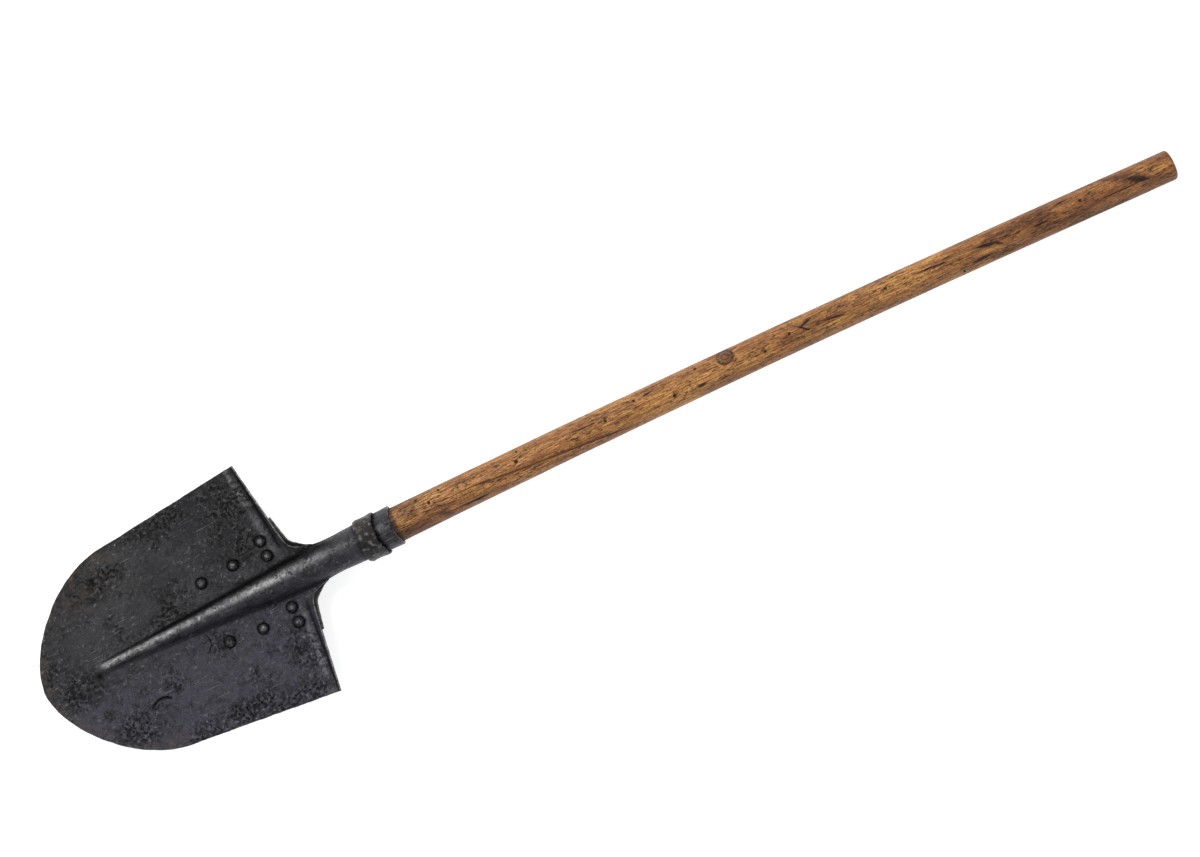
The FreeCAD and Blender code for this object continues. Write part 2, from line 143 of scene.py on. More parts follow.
def tube_faces(rows, sides):
    """Faces of a tube whose ends close on two last points, the first row's and then the last row's."""
    now, base = np.arange(sides), (rows - 1) * sides
    following = np.roll(now, -1)
    first, last = np.full(sides, rows * sides), np.full(sides, rows * sides + 1)
    return np.concatenate([grid_faces(rows, sides, closed=True),
                           np.stack([following, now, first, first], -1),
                           np.stack([base + now, base + following, last, last], -1)])


def skin_normals(points, faces):
    a, b, c, d = (points[faces[:, i]] for i in range(4))
    facing = np.cross(c - a, d - b)
    total = np.zeros_like(points)
    for i in range(4):
        np.add.at(total, faces[:, i], facing)
    return total / np.maximum(np.linalg.norm(total, axis=1, keepdims=True), 1e-12)


def open_loops(faces):
    """The open edges of a skin, as loops of point numbers that run the same way as the faces."""
    starts, ends = faces.ravel(), np.roll(faces, -1, axis=1).ravel()
    whole = set(zip(starts.tolist(), ends.tolist()))
    onward = {a: b for a, b in whole if (b, a) not in whole and a != b}
    loops = []
    while onward:
        loop = [next(iter(sorted(onward)))]
        while loop[-1] in onward:
            loop.append(onward.pop(loop[-1]))
        loops.append(np.array(loop[:-1]))
    return loops


def thicken(points, faces, thickness, rounding, chew):
    """A closed sheet from its outer skin. Returns points, faces, each point's source and which are rim.

    chew is how deep use has eaten into the edge, in mm."""
    normals = skin_normals(points, faces)
    count = len(points)
    outer, inner = points.copy(), points - normals * thickness
    quads = [faces, faces[:, ::-1] + count]
    extra, source = [], [np.arange(count), np.arange(count)]
    for loop in open_loops(faces):
        down = normals[loop]
        out = np.cross(np.roll(points[loop], -1, axis=0) - np.roll(points[loop], 1, axis=0), down)
        out /= np.maximum(np.linalg.norm(out, axis=1, keepdims=True), 1e-12)
        bites = lumps(points[loop], 11.0, 13) + 0.6 * lumps(points[loop], 3.5, 14)
        eaten = chew * np.clip(0.25 + bites, 0, 1)
        edge = points[loop] - out * eaten[:, None]
        outer[loop] = edge - out * rounding
        inner[loop] = edge - out * rounding - down * thickness
        rings = [loop]
        for inset, depth in ((0.3, 0.3), (0.0, 1.0), (0.0, -1.0), (0.3, -0.3)):
            rings.append(np.arange(len(loop)) + 2 * count + sum(len(e) for e in extra))
            level = depth * rounding if depth > 0 else thickness + depth * rounding
            extra.append(edge - out * inset * rounding - down * level)
            source.append(loop)
        rings.append(loop + count)
        for upper, lower in zip(rings, rings[1:]):
            quads.append(np.stack([np.roll(upper, -1), upper, lower, np.roll(lower, -1)], -1))
    whole = np.concatenate([outer, inner] + extra)
    return whole, np.concatenate(quads), np.concatenate(source), np.arange(len(whole)) >= 2 * count


def keep_values(mesh, values):
    """Store named numbers or vectors on a mesh's points, for its finish to read."""
    for label, data in values.items():
        data = np.asarray(data, np.float32)
        kind, key = ("FLOAT", "value") if data.ndim == 1 else ("FLOAT_VECTOR", "vector")
        mesh.attributes.new(label, kind, "POINT").data.foreach_set(key, data.ravel())


def make_object(name, points, faces, values):
    """A smooth-shaded object at the origin, with its values kept on its points."""
    mesh = bpy.data.meshes.new(name)
    solid = [list(dict.fromkeys(face)) for face in np.asarray(faces).tolist()]
    mesh.from_pydata(np.asarray(points, float).tolist(), [], [f for f in solid if len(f) > 2])
    keep_values(mesh, values)
    mesh.polygons.foreach_set("use_smooth", [True] * len(mesh.polygons))
    mesh.update()
    piece = bpy.data.objects.new(name, mesh)
    bpy.context.scene.collection.objects.link(piece)
    triangles = sum(len(p.vertices) - 2 for p in mesh.polygons)
    print("%s: %d points, %d triangles" % (name, len(mesh.vertices), triangles))
    return piece


# %% [markdown]
# ## The camera, the floor and the light
#
# The shovel lies flat and is looked at from straight above, turned so that the pole climbs to the upper
# right. Very soft light from all round, a little stronger from the upper left, leaves hardly any shadow
# on the pale floor. Dark steel shows mostly what it reflects, so the light boxes matter more for the
# blade than for the wood.

# %% Camera, floor, light
scene = bpy.context.scene
scene.view_settings.view_transform = "Standard"

camera_data = bpy.data.cameras.new("camera")
camera_data.lens = 90.0
camera_data.sensor_width = 36.0
camera = bpy.data.objects.new("camera", camera_data)
camera.location = (-0.0098, -0.0029, 3.042)
camera.rotation_euler = (0.0, 0.0, math.radians(-26.0))
scene.collection.objects.link(camera)
scene.camera = camera

FLOOR_REACH = 6.0            # metres from the middle to each side of the floor
floor_mesh = bpy.data.meshes.new("floor")
floor_corners = [(x * FLOOR_REACH, y * FLOOR_REACH, cad_low.z)
                 for x, y in ((-1, -1), (1, -1), (1, 1), (-1, 1))]
floor_mesh.from_pydata(floor_corners, [], [(0, 1, 2, 3)])
floor = bpy.data.objects.new("floor", floor_mesh)
scene.collection.objects.link(floor)
floor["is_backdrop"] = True

world = bpy.data.worlds.new("studio")
world.use_nodes = True
world.node_tree.nodes["Background"].inputs["Color"].default_value = (0.96, 0.98, 1.0, 1.0)
world.node_tree.nodes["Background"].inputs["Strength"].default_value = 0.42
scene.world = world


def light_box(name, position, size, power, tint):
    """A square soft light that faces the middle of the shovel."""
    data = bpy.data.lights.new(name, "AREA")
    data.shape, data.size, data.energy, data.color = "SQUARE", size, power, tint
    lamp = bpy.data.objects.new(name, data)
    lamp.location = position
    lamp.rotation_euler = (-Vector(position)).to_track_quat("-Z", "Y").to_euler()
    scene.collection.objects.link(lamp)


light_box("key_box", (-0.9, 1.9, 2.3), 1.3, 92.0, (1.0, 0.99, 0.97))
light_box("fill_box", (1.3, -2.0, 2.4), 2.2, 26.0, (0.93, 0.96, 1.0))
light_box("side_box", (-2.6, -0.3, 1.6), 1.2, 22.0, (1.0, 1.0, 1.0))
print("camera at", [round(v, 3) for v in camera.location])

# %% [markdown]
# ## Writing finishes as arithmetic
#
# A finish is a network of nodes, and most of it is plain arithmetic on masks. Wiring each Math node by
# hand hides the idea, so a small class wraps a socket and lets masks be added, multiplied and compared
# as numbers are. Every other node comes from one method that is told the node's type, its settings and
# what goes into its sockets.

# %% The finish builder
class Wire:
    """One output socket of a finish. Arithmetic on it adds Math nodes."""

    def __init__(self, finish, socket):
        self.finish, self.socket = finish, socket

    def math(self, operation, *others, clamp=False):
        settings = {"operation": operation, "use_clamp": clamp}
        return self.finish.node("ShaderNodeMath", settings, dict(enumerate((self,) + others)))

    def __add__(self, other):
        return self.math("ADD", other)

    def __sub__(self, other):
        return self.math("SUBTRACT", other)

    def __rsub__(self, other):
        return self.math("MULTIPLY_ADD", -1.0, other)

    def __mul__(self, other):
        return self.math("MULTIPLY", other)

    def __abs__(self):
        return self.math("ABSOLUTE")

    def most(self, other):
        return self.math("MAXIMUM", other)

    def clamp(self):
        return self.math("ADD", 0.0, clamp=True)

    __radd__, __rmul__ = __add__, __mul__


class Finish:
    """A material under construction."""

    def __init__(self, name):
        self.material = bpy.data.materials.new(name)
        self.material.use_nodes = True
        self.material.node_tree.nodes.clear()

    def node(self, kind, settings=None, inputs=None, output=0):
        node = self.material.node_tree.nodes.new(kind)
        for name, value in (settings or {}).items():
            setattr(node, name, value)
        for name, value in (inputs or {}).items():
            if isinstance(value, Wire):
                self.material.node_tree.links.new(value.socket, node.inputs[name])
            else:
                node.inputs[name].default_value = value
        return Wire(self, node.outputs[output])

    def spot(self):
        """Where a point is on the piece, in metres."""
        return self.node("ShaderNodeTexCoord", output="Object")

    def kept(self, label, output="Fac"):
        """A value that the mesh keeps on its points."""
        return self.node("ShaderNodeAttribute", {"attribute_name": label}, output=output)

    def parts(self, vector):
        apart = self.node("ShaderNodeSeparateXYZ", inputs={0: vector})
        outputs = apart.socket.node.outputs
        return [Wire(self, outputs[i]) for i in range(3)]

    def stretch(self, vector, scale, turn=0.0, shift=(0.0, 0.0, 0.0)):
        return self.node("ShaderNodeMapping", inputs={
            "Vector": vector, "Location": shift, "Rotation": (0.0, 0.0, math.radians(turn)),
            "Scale": scale})

    def noise(self, vector, scale, detail=3.0, rough=0.55, bend=0.0):
        return self.node("ShaderNodeTexNoise", inputs={
            "Vector": vector, "Scale": scale, "Detail": detail, "Roughness": rough, "Distortion": bend})

    def cells(self, vector, scale):
        """Distance to the nearest of many scattered points, in cell sizes."""
        return self.node("ShaderNodeTexVoronoi", inputs={"Vector": vector, "Scale": scale},
                         output="Distance")

    def length(self, vector):
        return self.node("ShaderNodeVectorMath", {"operation": "LENGTH"}, {0: vector}, output="Value")

    def rise(self, value, low, high):
        """0 below low, 1 above high (or the other way round when low is the larger)."""
        return self.node("ShaderNodeMapRange", {"interpolation_type": "SMOOTHSTEP"},
                         {"Value": value, "From Min": low, "From Max": high})

    def blend(self, share, start, end):
        """A colour between start and end."""
        return self.node("ShaderNodeMix", {"data_type": "RGBA"}, {0: share, 6: start, 7: end}, output=2)

    def coats(self, colour, layers):
        """Colours laid one over the other, each given as (share, colour)."""
        for share, over in layers:
            colour = self.blend(share, colour, over)
        return colour

    def surface(self, height, depth, **inputs):
        """The last nodes: bump from a height, the shader and the output."""
        bump = self.node("ShaderNodeBump", inputs={"Height": height, "Distance": depth, "Strength": 1.0})
        values = {name.replace("_", " "): value for name, value in inputs.items()}
        shader = self.node("ShaderNodeBsdfPrincipled", inputs=dict(values, Normal=bump))
        leave = self.material.node_tree.nodes.new("ShaderNodeOutputMaterial")
        self.material.node_tree.links.new(shader.socket, leave.inputs["Surface"])
        return self.material


def tone(red, green, blue):
    """A colour as painters' charts give it, 0 to 255, turned into the linear values shaders use."""
    linear = [c / 12.92 if c <= 0.04045 else ((c + 0.055) / 1.055) ** 2.4
              for c in (red / 255, green / 255, blue / 255)]
    return (*linear, 1.0)


# %% [markdown]
# ## Floor finish
#
# A light table: a pale matt sheet lit from below as well as above, which is how small objects are shown
# without a shadow. A faint unevenness keeps it from being one flat computer white.

# %% Floor finish
table = Finish("light_table")
table_cloud = table.noise(table.spot(), 1.3)
floor.data.materials.append(table.surface(
    table.noise(table.spot(), 300.0), 0.00005,
    Base_Color=table.blend(table_cloud, tone(196, 196, 197), tone(202, 202, 202)),
    Roughness=0.9, Emission_Color=(1.0, 1.0, 1.0, 1.0), Emission_Strength=0.72))
print("floor finish ready")

# %% [markdown]
# ## Blackened steel
#
# The blade was blacked at the works and has been dug with and stored damp since: a dark skin with cloudy
# tone, fine speckle, pits that gather in clusters, and hairline scratches. Where hands, soil and the
# ground rubbed the high places, bare metal shows and is brighter and smoother. The mesh keeps values for
# this, because only the shape knows where they are: one for bare metal on crests and edges, which also
# paints a highlight on the ridge's crest toward the lit side, along the tread's bend and on the rivets'
# crowns; one for painted shade in creases, on the ridge's upper flank, past the tread's bend, round the
# rivets and beside the ring, which also darkens one pit; and `nose` where rust gathers round the blade's
# tip. Steel on the negative-across half gets a lighter, bluish painted sheen. The worst pitting and two
# nicks have set places. Everything else is noise at several sizes.

# %% Blackened steel
def scratches(finish, spot, turn, patch):
    """Hairlines that run one way, where patch allows them."""
    drawn = finish.stretch(spot, (26.0, 900.0, 200.0), turn)
    line = finish.rise(finish.noise(drawn, 1.0, 2.0, 0.5, 0.4), 0.65, 0.74)
    return line * patch


def patches(finish, spot, places):
    """Soft areas given as (x, y, half length, half width) in metres."""
    whole = None
    for x, y, length, width in places:
        near = finish.stretch(spot, (1 / length, 1 / width, 0.0), 0.0, (-x / length, -y / width, 0.0))
        area = finish.rise(finish.length(near), 1.35, 0.35)
        whole = area if whole is None else whole.most(area)
    return whole


def arc_cuts(finish, spot, cuts):
    """Thin curved nicks given as (x, y, radius, width, direction in degrees) in metres."""
    whole = None
    for x, y, radius, width, heading in cuts:
        moved = finish.stretch(spot, (1.0, 1.0, 0.0), 0.0, (-x, -y, 0.0))
        toward = (math.cos(math.radians(heading)), math.sin(math.radians(heading)), 0.0)
        ahead = finish.node("ShaderNodeVectorMath", {"operation": "DOT_PRODUCT"}, {0: moved, 1: toward},
                            output="Value")
        line = finish.rise(abs(finish.length(moved) - radius), width, 0.4 * width)
        line = line * finish.rise(ahead, 0.5 * radius, 0.85 * radius)
        whole = line if whole is None else whole.most(line)
    return whole


def blackened_steel(name, dark, mid, sheen_tone, rust, bare, gloss, rotten=(), cuts=()):
    """Oxide-black steel, with the tones given from darkest to bare metal, and pitted where rotten says.
    The third tone is the painted sheen's.
    """
    finish = Finish(name)
    spot = finish.spot()
    wear_and_highlight, shade_and_pits = finish.kept("wear_and_highlight"), finish.kept("shade_and_pits")
    across = finish.parts(spot)[1]
    cloud = finish.noise(spot, 14.0, 4.0, 0.55, 0.3)
    mottle = finish.noise(spot, 95.0, 5.0, 0.66, 0.5)
    crumbs = finish.noise(spot, 260.0, 4.0, 0.62, 0.3)
    speckle = finish.noise(spot, 620.0, 4.0, 0.7)
    clusters = finish.rise(finish.noise(spot, 23.0, 4.0, 0.6, 0.2), 0.54, 0.68) * 0.5
    if rotten:
        clusters = clusters.most(patches(finish, spot, rotten) * finish.rise(cloud + mottle, 0.85, 1.1))
    pits = finish.rise(finish.cells(spot, 240.0) + (mottle - 0.5) * 0.6, 0.36, 0.16) * clusters
    eaten = finish.rise(crumbs, 0.50, 0.36) * clusters
    if cuts:
        shake = finish.node("ShaderNodeCombineXYZ", inputs={
            "X": (crumbs - 0.5) * 0.004, "Y": (mottle - 0.5) * 0.004})
        ragged = finish.node("ShaderNodeVectorMath", {"operation": "ADD"}, {0: spot, 1: shake})
        pits = pits.most(arc_cuts(finish, ragged, cuts))
    small_pits = finish.rise(finish.cells(spot, 560.0), 0.3, 0.1) * finish.rise(mottle, 0.46, 0.62)
    scuffed = finish.rise(finish.noise(spot, 30.0, 3.0, 0.6, 0.6), 0.47, 0.62)
    hairs = scratches(finish, spot, 28.0, scuffed)
    hairs = hairs.most(scratches(finish, spot, -41.0, scuffed))
    hairs = hairs.most(scratches(finish, spot, 83.0, finish.rise(cloud, 0.45, 0.6)))
    # Painted sheen: the half of the steel below the middle line across gets a lighter, bluish tone.
    painted_sheen_side = finish.rise(across + (cloud - 0.5) * 0.08, 0.02, -0.06)
    nose = finish.kept("nose")

    colour = finish.blend(finish.rise(mottle * 0.5 + cloud * 0.5, 0.38, 0.62), dark, mid)
    rusty = (nose * finish.rise(mottle, 0.36, 0.62)).most(clusters * 0.2)
    # Bare metal where the wear value allows: rubbed places, and also painted highlight on crests, bends
    # and rivet crowns.
    bare_and_highlight = (wear_and_highlight * finish.rise(mottle * 0.4 + crumbs * 0.3 + speckle * 0.3, 0.36, 0.58)).clamp()
    # Among these coats: the painted sheen first, then bare metal that is partly painted highlight, and
    # last a near-black coat of painted shade.
    colour = finish.coats(colour, [
        (painted_sheen_side * 0.8 * finish.rise(mottle, 0.3, 0.6), sheen_tone),
        (rusty * 0.38, rust),
        (finish.rise(crumbs * 0.6 + speckle * 0.4, 0.55, 0.68) * 0.26, bare),
        (finish.rise(speckle * 0.6 + crumbs * 0.4, 0.46, 0.30) * 0.75, tone(14, 14, 15)),
        (hairs * 0.30, bare),
        (bare_and_highlight, bare),
        (pits.most(small_pits * 0.5).most(eaten * 0.7) * 0.9, tone(12, 12, 12)),
        ((shade_and_pits * (0.6 + mottle * 0.7)).clamp() * 0.95, tone(9, 9, 9))])

    # Painted shade also raises roughness and metallic, which darkens it more; bare metal and painted
    # highlight are a little smoother.
    height = (mottle + crumbs * 0.85 + speckle * 0.35 - pits * 1.6 - eaten * 1.1
              - small_pits * 0.5 - hairs * 0.3)
    rough = (gloss + (mottle - 0.5) * 0.5 + (speckle - 0.5) * 0.3 - bare_and_highlight * 0.06
             + shade_and_pits * 0.35 + pits * 0.2)
    metallic = 0.45 + bare_and_highlight * 0.5 + shade_and_pits * 0.7 + pits * 0.6
    return finish.surface(height, 0.0021, Base_Color=colour, Roughness=rough.clamp(),
                          Metallic=metallic.clamp(), Specular_IOR_Level=0.28)


blade_rot = [(TIP_X + 0.238, 0.098, 0.030, 0.026), (TIP_X + 0.235, 0.060, 0.024, 0.030),
             (TIP_X + 0.104, 0.080, 0.022, 0.010), (TIP_X + 0.075, -0.072, 0.028, 0.018),
             (TIP_X + 0.170, -0.104, 0.060, 0.014), (TIP_X + 0.225, -0.113, 0.035, 0.012),
             (TIP_X + 0.035, -0.012, 0.024, 0.020), (TIP_X + 0.185, 0.106, 0.05, 0.010)]
blade_cuts = [(TIP_X + 0.101, -0.067, 0.0135, 0.0015, 95),
              (TIP_X + 0.1580, -0.022, 0.0120, 0.0006, -15)]
blade_finish = blackened_steel("blackened_blade_steel", tone(28, 28, 30), tone(52, 52, 55),
                               tone(60, 59, 70), tone(78, 64, 46), tone(176, 175, 176), 0.34,
                               blade_rot, blade_cuts)
plate_finish = blackened_steel("plate_steel", tone(24, 23, 24), tone(42, 40, 40),
                               tone(46, 45, 50), tone(84, 62, 44), tone(120, 114, 108), 0.46)
ring_finish = blackened_steel("forged_ring_steel", tone(15, 14, 14), tone(33, 31, 30),
                              tone(33, 33, 35), tone(84, 66, 48), tone(165, 160, 154), 0.34)
rivet_finish = blackened_steel("rivet_steel", tone(20, 20, 21), tone(38, 38, 40),
                               tone(42, 42, 46), tone(48, 42, 34), tone(150, 150, 152), 0.28)
print("steel finishes ready")

# %% [markdown]
# ## Pressing the blade
#
# A press tool raises a hollow ridge up the middle of the sheet: a round crown that meets the flat with a
# small hollow curve on each side. The ridge is narrow and low near the nose, and grows until it becomes
# the socket. The sheet also lifts toward the tip, curls a little at the nose and is dished from side to
# side. These rules are the same for the blade and for the plate riveted behind it, mirrored.

# %% Rules of the pressing
LIFT_SLOPE = math.tan(math.radians(3.0))    # how steeply the face climbs toward the tip
LIFT_BEND = 50.0             # length over which that climb begins, before the socket
DISH = 6.0                   # how far the shoulders stand forward of the middle
NOSE_CURL, CURL_REACH = 8.0, 200.0
NECK, NECK_HALF_WIDTH, NECK_RISE = 269.0, 19.5, 15.2    # the ridge has its full section here
# Where each ridge ends toward the tip: reach, half width there, and how the width grows from it.
FRONT_RIDGE_END, REAR_RIDGE_END = (58.0, 6.6, 1.2), (176.0, 7.0, 1.0)
BEND_REACH, BEND_HALF_WIDTH = 270.5, 34.0    # inner end of the tread's straight bend line
CROWN_STEPS, FOOT_STEPS = 11, 4


def joint_height(reach, across):
    """Height of the surface between the blade's back and the plate's front."""
    bend = np.maximum(0.0, (SOCKET_START - reach) / LIFT_BEND)
    climb = np.where(bend < 1, bend ** 2 / 2, bend - 0.5)
    curl = NOSE_CURL * np.maximum(0.0, 1.0 - reach / CURL_REACH) ** 2
    fade = smooth(SOCKET_START - reach, 0.0, SOCKET_START - BEND_REACH)
    dish = DISH * (across / HALF_WIDTH) ** 2 * fade
    return LIFT_SLOPE * LIFT_BEND * climb + curl + dish


def ridge_size(reach, side):
    """Half width, crest height and share of hollow foot of the ridge; side is 1 in front, -1 behind."""
    end, end_half_width, width_power = FRONT_RIDGE_END if side > 0 else REAR_RIDGE_END
    q = np.clip((reach - end) / (NECK - end), 0, 1)
    half_width = end_half_width + (NECK_HALF_WIDTH - end_half_width) * q ** width_power
    half_width = half_width + 0.4 * np.maximum(0, end - reach)
    blunt_end = 3.4 * smooth(reach, end - 4, end + 9) * (1 - q) ** 2
    height = np.maximum(0.02, NECK_RISE * q ** 0.85 + blunt_end)
    foot = 0.40 - 0.28 * q
    blend = np.clip((reach - NECK) / (SOCKET_START - NECK), 0, 1)
    half_width = half_width + (SOCKET_RADII[0] + SHEET - 0.2 - half_width) * blend
    height = height + (SOCKET_RADII[0] - SHEET - height) * blend
    return half_width, height, foot


def ridge_section(reach, side):
    """Points across half the ridge, crest first: (across, rise over the joint surface)."""
    half_width, height, foot = ridge_size(reach, side)
    span = (half_width ** 2 + height ** 2) / (2 * height)
    sweep = math.acos(max(-1.0, 1 - height / span))
    crown = span * (1 - foot)
    turn = sweep * np.linspace(0, 1, CROWN_STEPS + 1)
    crest = [(crown * math.sin(a), SHEET + height - crown + crown * math.cos(a)) for a in turn]
    turn = sweep * (1 - np.arange(1, FOOT_STEPS + 1) / FOOT_STEPS)
    hollow = [(half_width - span * foot * math.sin(a), SHEET + span * foot * (1 - math.cos(a)))
              for a in turn]
    return np.array(crest + hollow)


print("ridge at the neck: %s" % [round(float(v), 2) for v in ridge_size(NECK, 1)])

# %% [markdown]
# ## The outlines in plan
#
# The nose is a blunt round curve that runs into nearly straight sides. At the shoulders the sheet is bent
# up toward the front for the foot to press on, and that bend line sweeps round into the socket instead of
# meeting it square. The plate behind has its own outline. A patch between four such curves is filled by
# the Coons rule: mix opposite curves, and take away the part counted twice.

# %% Outlines
RIDGE_COLUMNS = CROWN_STEPS + FOOT_STEPS
MERGE = 303.0                # the bend line runs into the ridge's foot here
TAB_HALF_WIDTH = 62.5        # the plate's tabs end here


def bezier(poles, steps):
    """Points along a Bezier curve, evenly spaced along its length."""
    poles = np.array(poles, float)
    q = np.linspace(0, 1, 400)[:, None]
    degree = len(poles) - 1
    curve = sum(math.comb(degree, i) * (1 - q) ** (degree - i) * q ** i * pole
                for i, pole in enumerate(poles))
    return even_points(curve, steps)


def even_points(curve, steps):
    """Evenly spaced along the line in plan. Columns past the first two are carried along."""
    along = np.concatenate([[0], np.cumsum(np.linalg.norm(np.diff(curve[:, :2], axis=0), axis=1))])
    wanted = np.linspace(0, along[-1], steps)
    return np.stack([np.interp(wanted, along, column) for column in curve.T], -1)


def rounded_path(corners, passes=4):
    """A smooth line near the corners that keeps both ends (Chaikin's corner cutting)."""
    path = np.array(corners, float)
    for _ in range(passes):
        cut = np.stack([0.75 * path[:-1] + 0.25 * path[1:], 0.25 * path[:-1] + 0.75 * path[1:]], 1)
        path = np.concatenate([path[:1], cut.reshape(-1, path.shape[1]), path[-1:]])
    return path


# Along the tread's bend line from the ridge's foot outward: reach, across, the direction in which the
# sheet runs on past the line, how far the blade and the plate run on, and their share of the full angle.
TREAD_COURSE = [(303, 19.7, 0.00, 1.00, 0.3, 0.5, 0.00), (297, 20.3, 0.35, 0.94, 0.8, 1.8, 0.00),
                (289, 21.5, 0.62, 0.78, 2.0, 6.0, 0.10), (281, 23.6, 0.76, 0.65, 3.6, 9.6, 0.35),
                (275, 28.0, 0.90, 0.43, 6.2, 11.4, 0.72), (272.4, 34, 0.97, 0.24, 6.9, 11.9, 0.95),
                (270.3, 46, 0.99, 0.12, 6.9, 11.6, 1.00)]


def bend_line(outer_half_width, steps):
    """The course of the tread out to its end, as even rows of TREAD_COURSE."""
    slope = (SHOULDER - BEND_REACH) / (HALF_WIDTH - BEND_HALF_WIDTH)
    reach = SHOULDER + slope * (outer_half_width - HALF_WIDTH)
    blade_run = 6.6 - 4.0 * (outer_half_width - TAB_HALF_WIDTH) / (HALF_WIDTH - TAB_HALF_WIDTH)
    outer = (reach, outer_half_width, 1.0, 0.0, blade_run, 10.6, 1.0)
    return even_points(rounded_path(TREAD_COURSE + [outer]), steps)


def coons(start, end, near, far):
    """Grid between four lines: start and end run across, near and far run along."""
    p = np.linspace(0, 1, len(near))[:, None, None]
    t = np.linspace(0, 1, len(start))[None, :, None]
    across = (1 - p) * start[None] + p * end[None]
    along = (1 - t) * near[:, None] + t * far[:, None]
    corners = ((1 - p) * ((1 - t) * start[0] + t * start[-1]) + p * ((1 - t) * end[0] + t * end[-1]))
    return across + along - corners


# %% [markdown]
# ## One sheet: flat, ridge, tread and half socket
#
# The sheet is one skin of points: columns over the ridge follow its section, columns over the wing follow
# the Coons patch, then the wing's rows turn up through the bend into the tread, while the ridge's columns
# go on as half a cone to the mouth of the socket. Small lumps and dents are added to its height, then the
# skin is thickened.

# %% Sheet builder
TREAD_ANGLE, TREAD_BEND = math.radians(55.0), 2.5
SIDE_START = (110.0, 108.6)  # the round nose runs into the straight side here
MOUTH_SCOOP = 3.5            # the front half's mouth is cut back this far in the middle
RING_START, RING_END, RING_WALL = 347.0, 372.0, 2.5


def on_circle(turn):
    """Points round the ring at which its unevenness is drawn."""
    return np.stack([30 * np.cos(turn), 30 * np.sin(turn), 0 * turn], -1)


def ring_far_edge(turn):
    """Reach of the ring's torn far edge; turn is 90 degrees at its top."""
    around = on_circle(turn)
    torn = 2.2 * lumps(around, 9.0, 51) + 1.5 * lumps(around, 3.0, 52)
    return RING_END - 1.3 - 4.2 * np.maximum(0, np.sin(turn)) ** 2 + torn


def dents(reach, across):
    """Shallow waves and knocks that the whole sandwich of sheets shares."""
    spots = np.stack([reach, across, 0 * reach], -1)
    return 0.34 * lumps(spots, 38.0, 3) + 0.16 * lumps(spots, 13.0, 4) + 0.07 * lumps(spots, 5.0, 9)


def tread_rows(line, course, side):
    """Rows of the turned-up tread past the bend line, whose points run from the ridge outward."""
    out = course[:, 2:4] / np.linalg.norm(course[:, 2:4], axis=1, keepdims=True)
    share = course[:, 6]
    radius = TREAD_BEND if side > 0 else TREAD_BEND + 2 * SHEET + PLATE_GAP
    centre = line[:, 2] + radius
    angle = TREAD_ANGLE * (0.02 + 0.98 * share)
    torn = smooth(share, 0.8, 1.0) * (lumps(line, 5.0, 21) * 0.5 + lumps(line, 1.9, 22) * 0.35)
    run_on = course[:, 4] + 0.2 * torn if side > 0 else course[:, 5] + 0.8 * torn
    leg = np.maximum(0.05, (run_on - radius * np.sin(angle)) / np.cos(angle))
    rows = []
    for part in np.linspace(0, 1, 8)[1:]:
        rows.append((radius * np.sin(angle * part), centre - radius * np.cos(angle * part)))
    for part in (0.2, 0.45, 0.72, 1.0):
        rows.append((radius * np.sin(angle) + leg * part * np.cos(angle),
                     centre - radius * np.cos(angle) + leg * part * np.sin(angle)))
    return np.array([np.stack([line[:, 0] + out[:, 0] * run, line[:, 1] + out[:, 1] * run, top], -1)
                     for run, top in rows])


def socket_rows(side, steps):
    """Rows of half a cone past the merge, from the crest round to the edge beside the joint."""
    turn = np.linspace(0, math.pi / 2, RIDGE_COLUMNS + 1)
    offset = 0.0 if side > 0 else PLATE_GAP
    rows = []
    for line_reach in np.linspace(MERGE, SOCKET_END, steps + 1)[1:]:
        scoop = MOUTH_SCOOP * np.cos(turn) ** 2 if side > 0 else 0 * turn
        reach = line_reach - scoop * smooth(line_reach, SOCKET_END - 40, SOCKET_END)
        uneven = 0.5 * lumps(np.stack([reach, 25 * turn, 0 * turn], -1), 16.0, 5) * 0.3
        radius = socket_radius(reach) - 0.12 + uneven
        cone_height = side * np.maximum(radius * np.cos(turn), offset)
        cone = np.stack([reach, radius * np.sin(turn), cone_height], -1)
        drawn = ridge_section(min(line_reach, SOCKET_START), side)
        hat = np.stack([reach, drawn[:, 0],
                        joint_height(reach, drawn[:, 0]) + side * (drawn[:, 1] + offset)], -1)
        share = smooth(line_reach, MERGE - 4, MERGE + 23)
        rows.append(hat * (1 - share) + cone * share)
    return np.array(rows)


def sheet_skin(side, nose, edge, wing_columns, outer_half_width):
    """Outer skin of one half of a sheet, across >= 0, in mm: its flat, its tread and its half socket."""
    start_reach, rows = nose[0, 0], len(edge)
    ridge_reach = np.linspace(start_reach, MERGE, rows)
    sections = np.array([ridge_section(r, side) for r in ridge_reach])
    nose_reach = np.interp(sections[..., 0], nose[:, 1], nose[:, 0]) - start_reach
    settle = np.clip(1 - (ridge_reach - start_reach) / 80.0, 0, 1)[:, None]
    ridge = np.stack([ridge_reach[:, None] + nose_reach * settle, sections[..., 0]], -1)
    course = bend_line(outer_half_width, wing_columns + 1)
    end = course[:, :2]
    ridge[-1, -1] = end[0]
    foot = ridge[:, -1]
    beyond = nose[nose[:, 1] > foot[0, 1]]
    start = even_points(np.concatenate([foot[:1], beyond]), wing_columns + 1)
    plan = np.concatenate([ridge, coons(start, end, foot, edge)[:, 1:]], 1)
    rise = np.concatenate([sections[..., 1], np.full((rows, wing_columns), SHEET)], 1)
    offset = 0.0 if side > 0 else PLATE_GAP
    height = joint_height(plan[..., 0], plan[..., 1]) + side * (rise + offset)
    flat = np.concatenate([plan, height[..., None]], -1)
    return flat, tread_rows(flat[-1, RIDGE_COLUMNS:], course, side), socket_rows(side, 50)


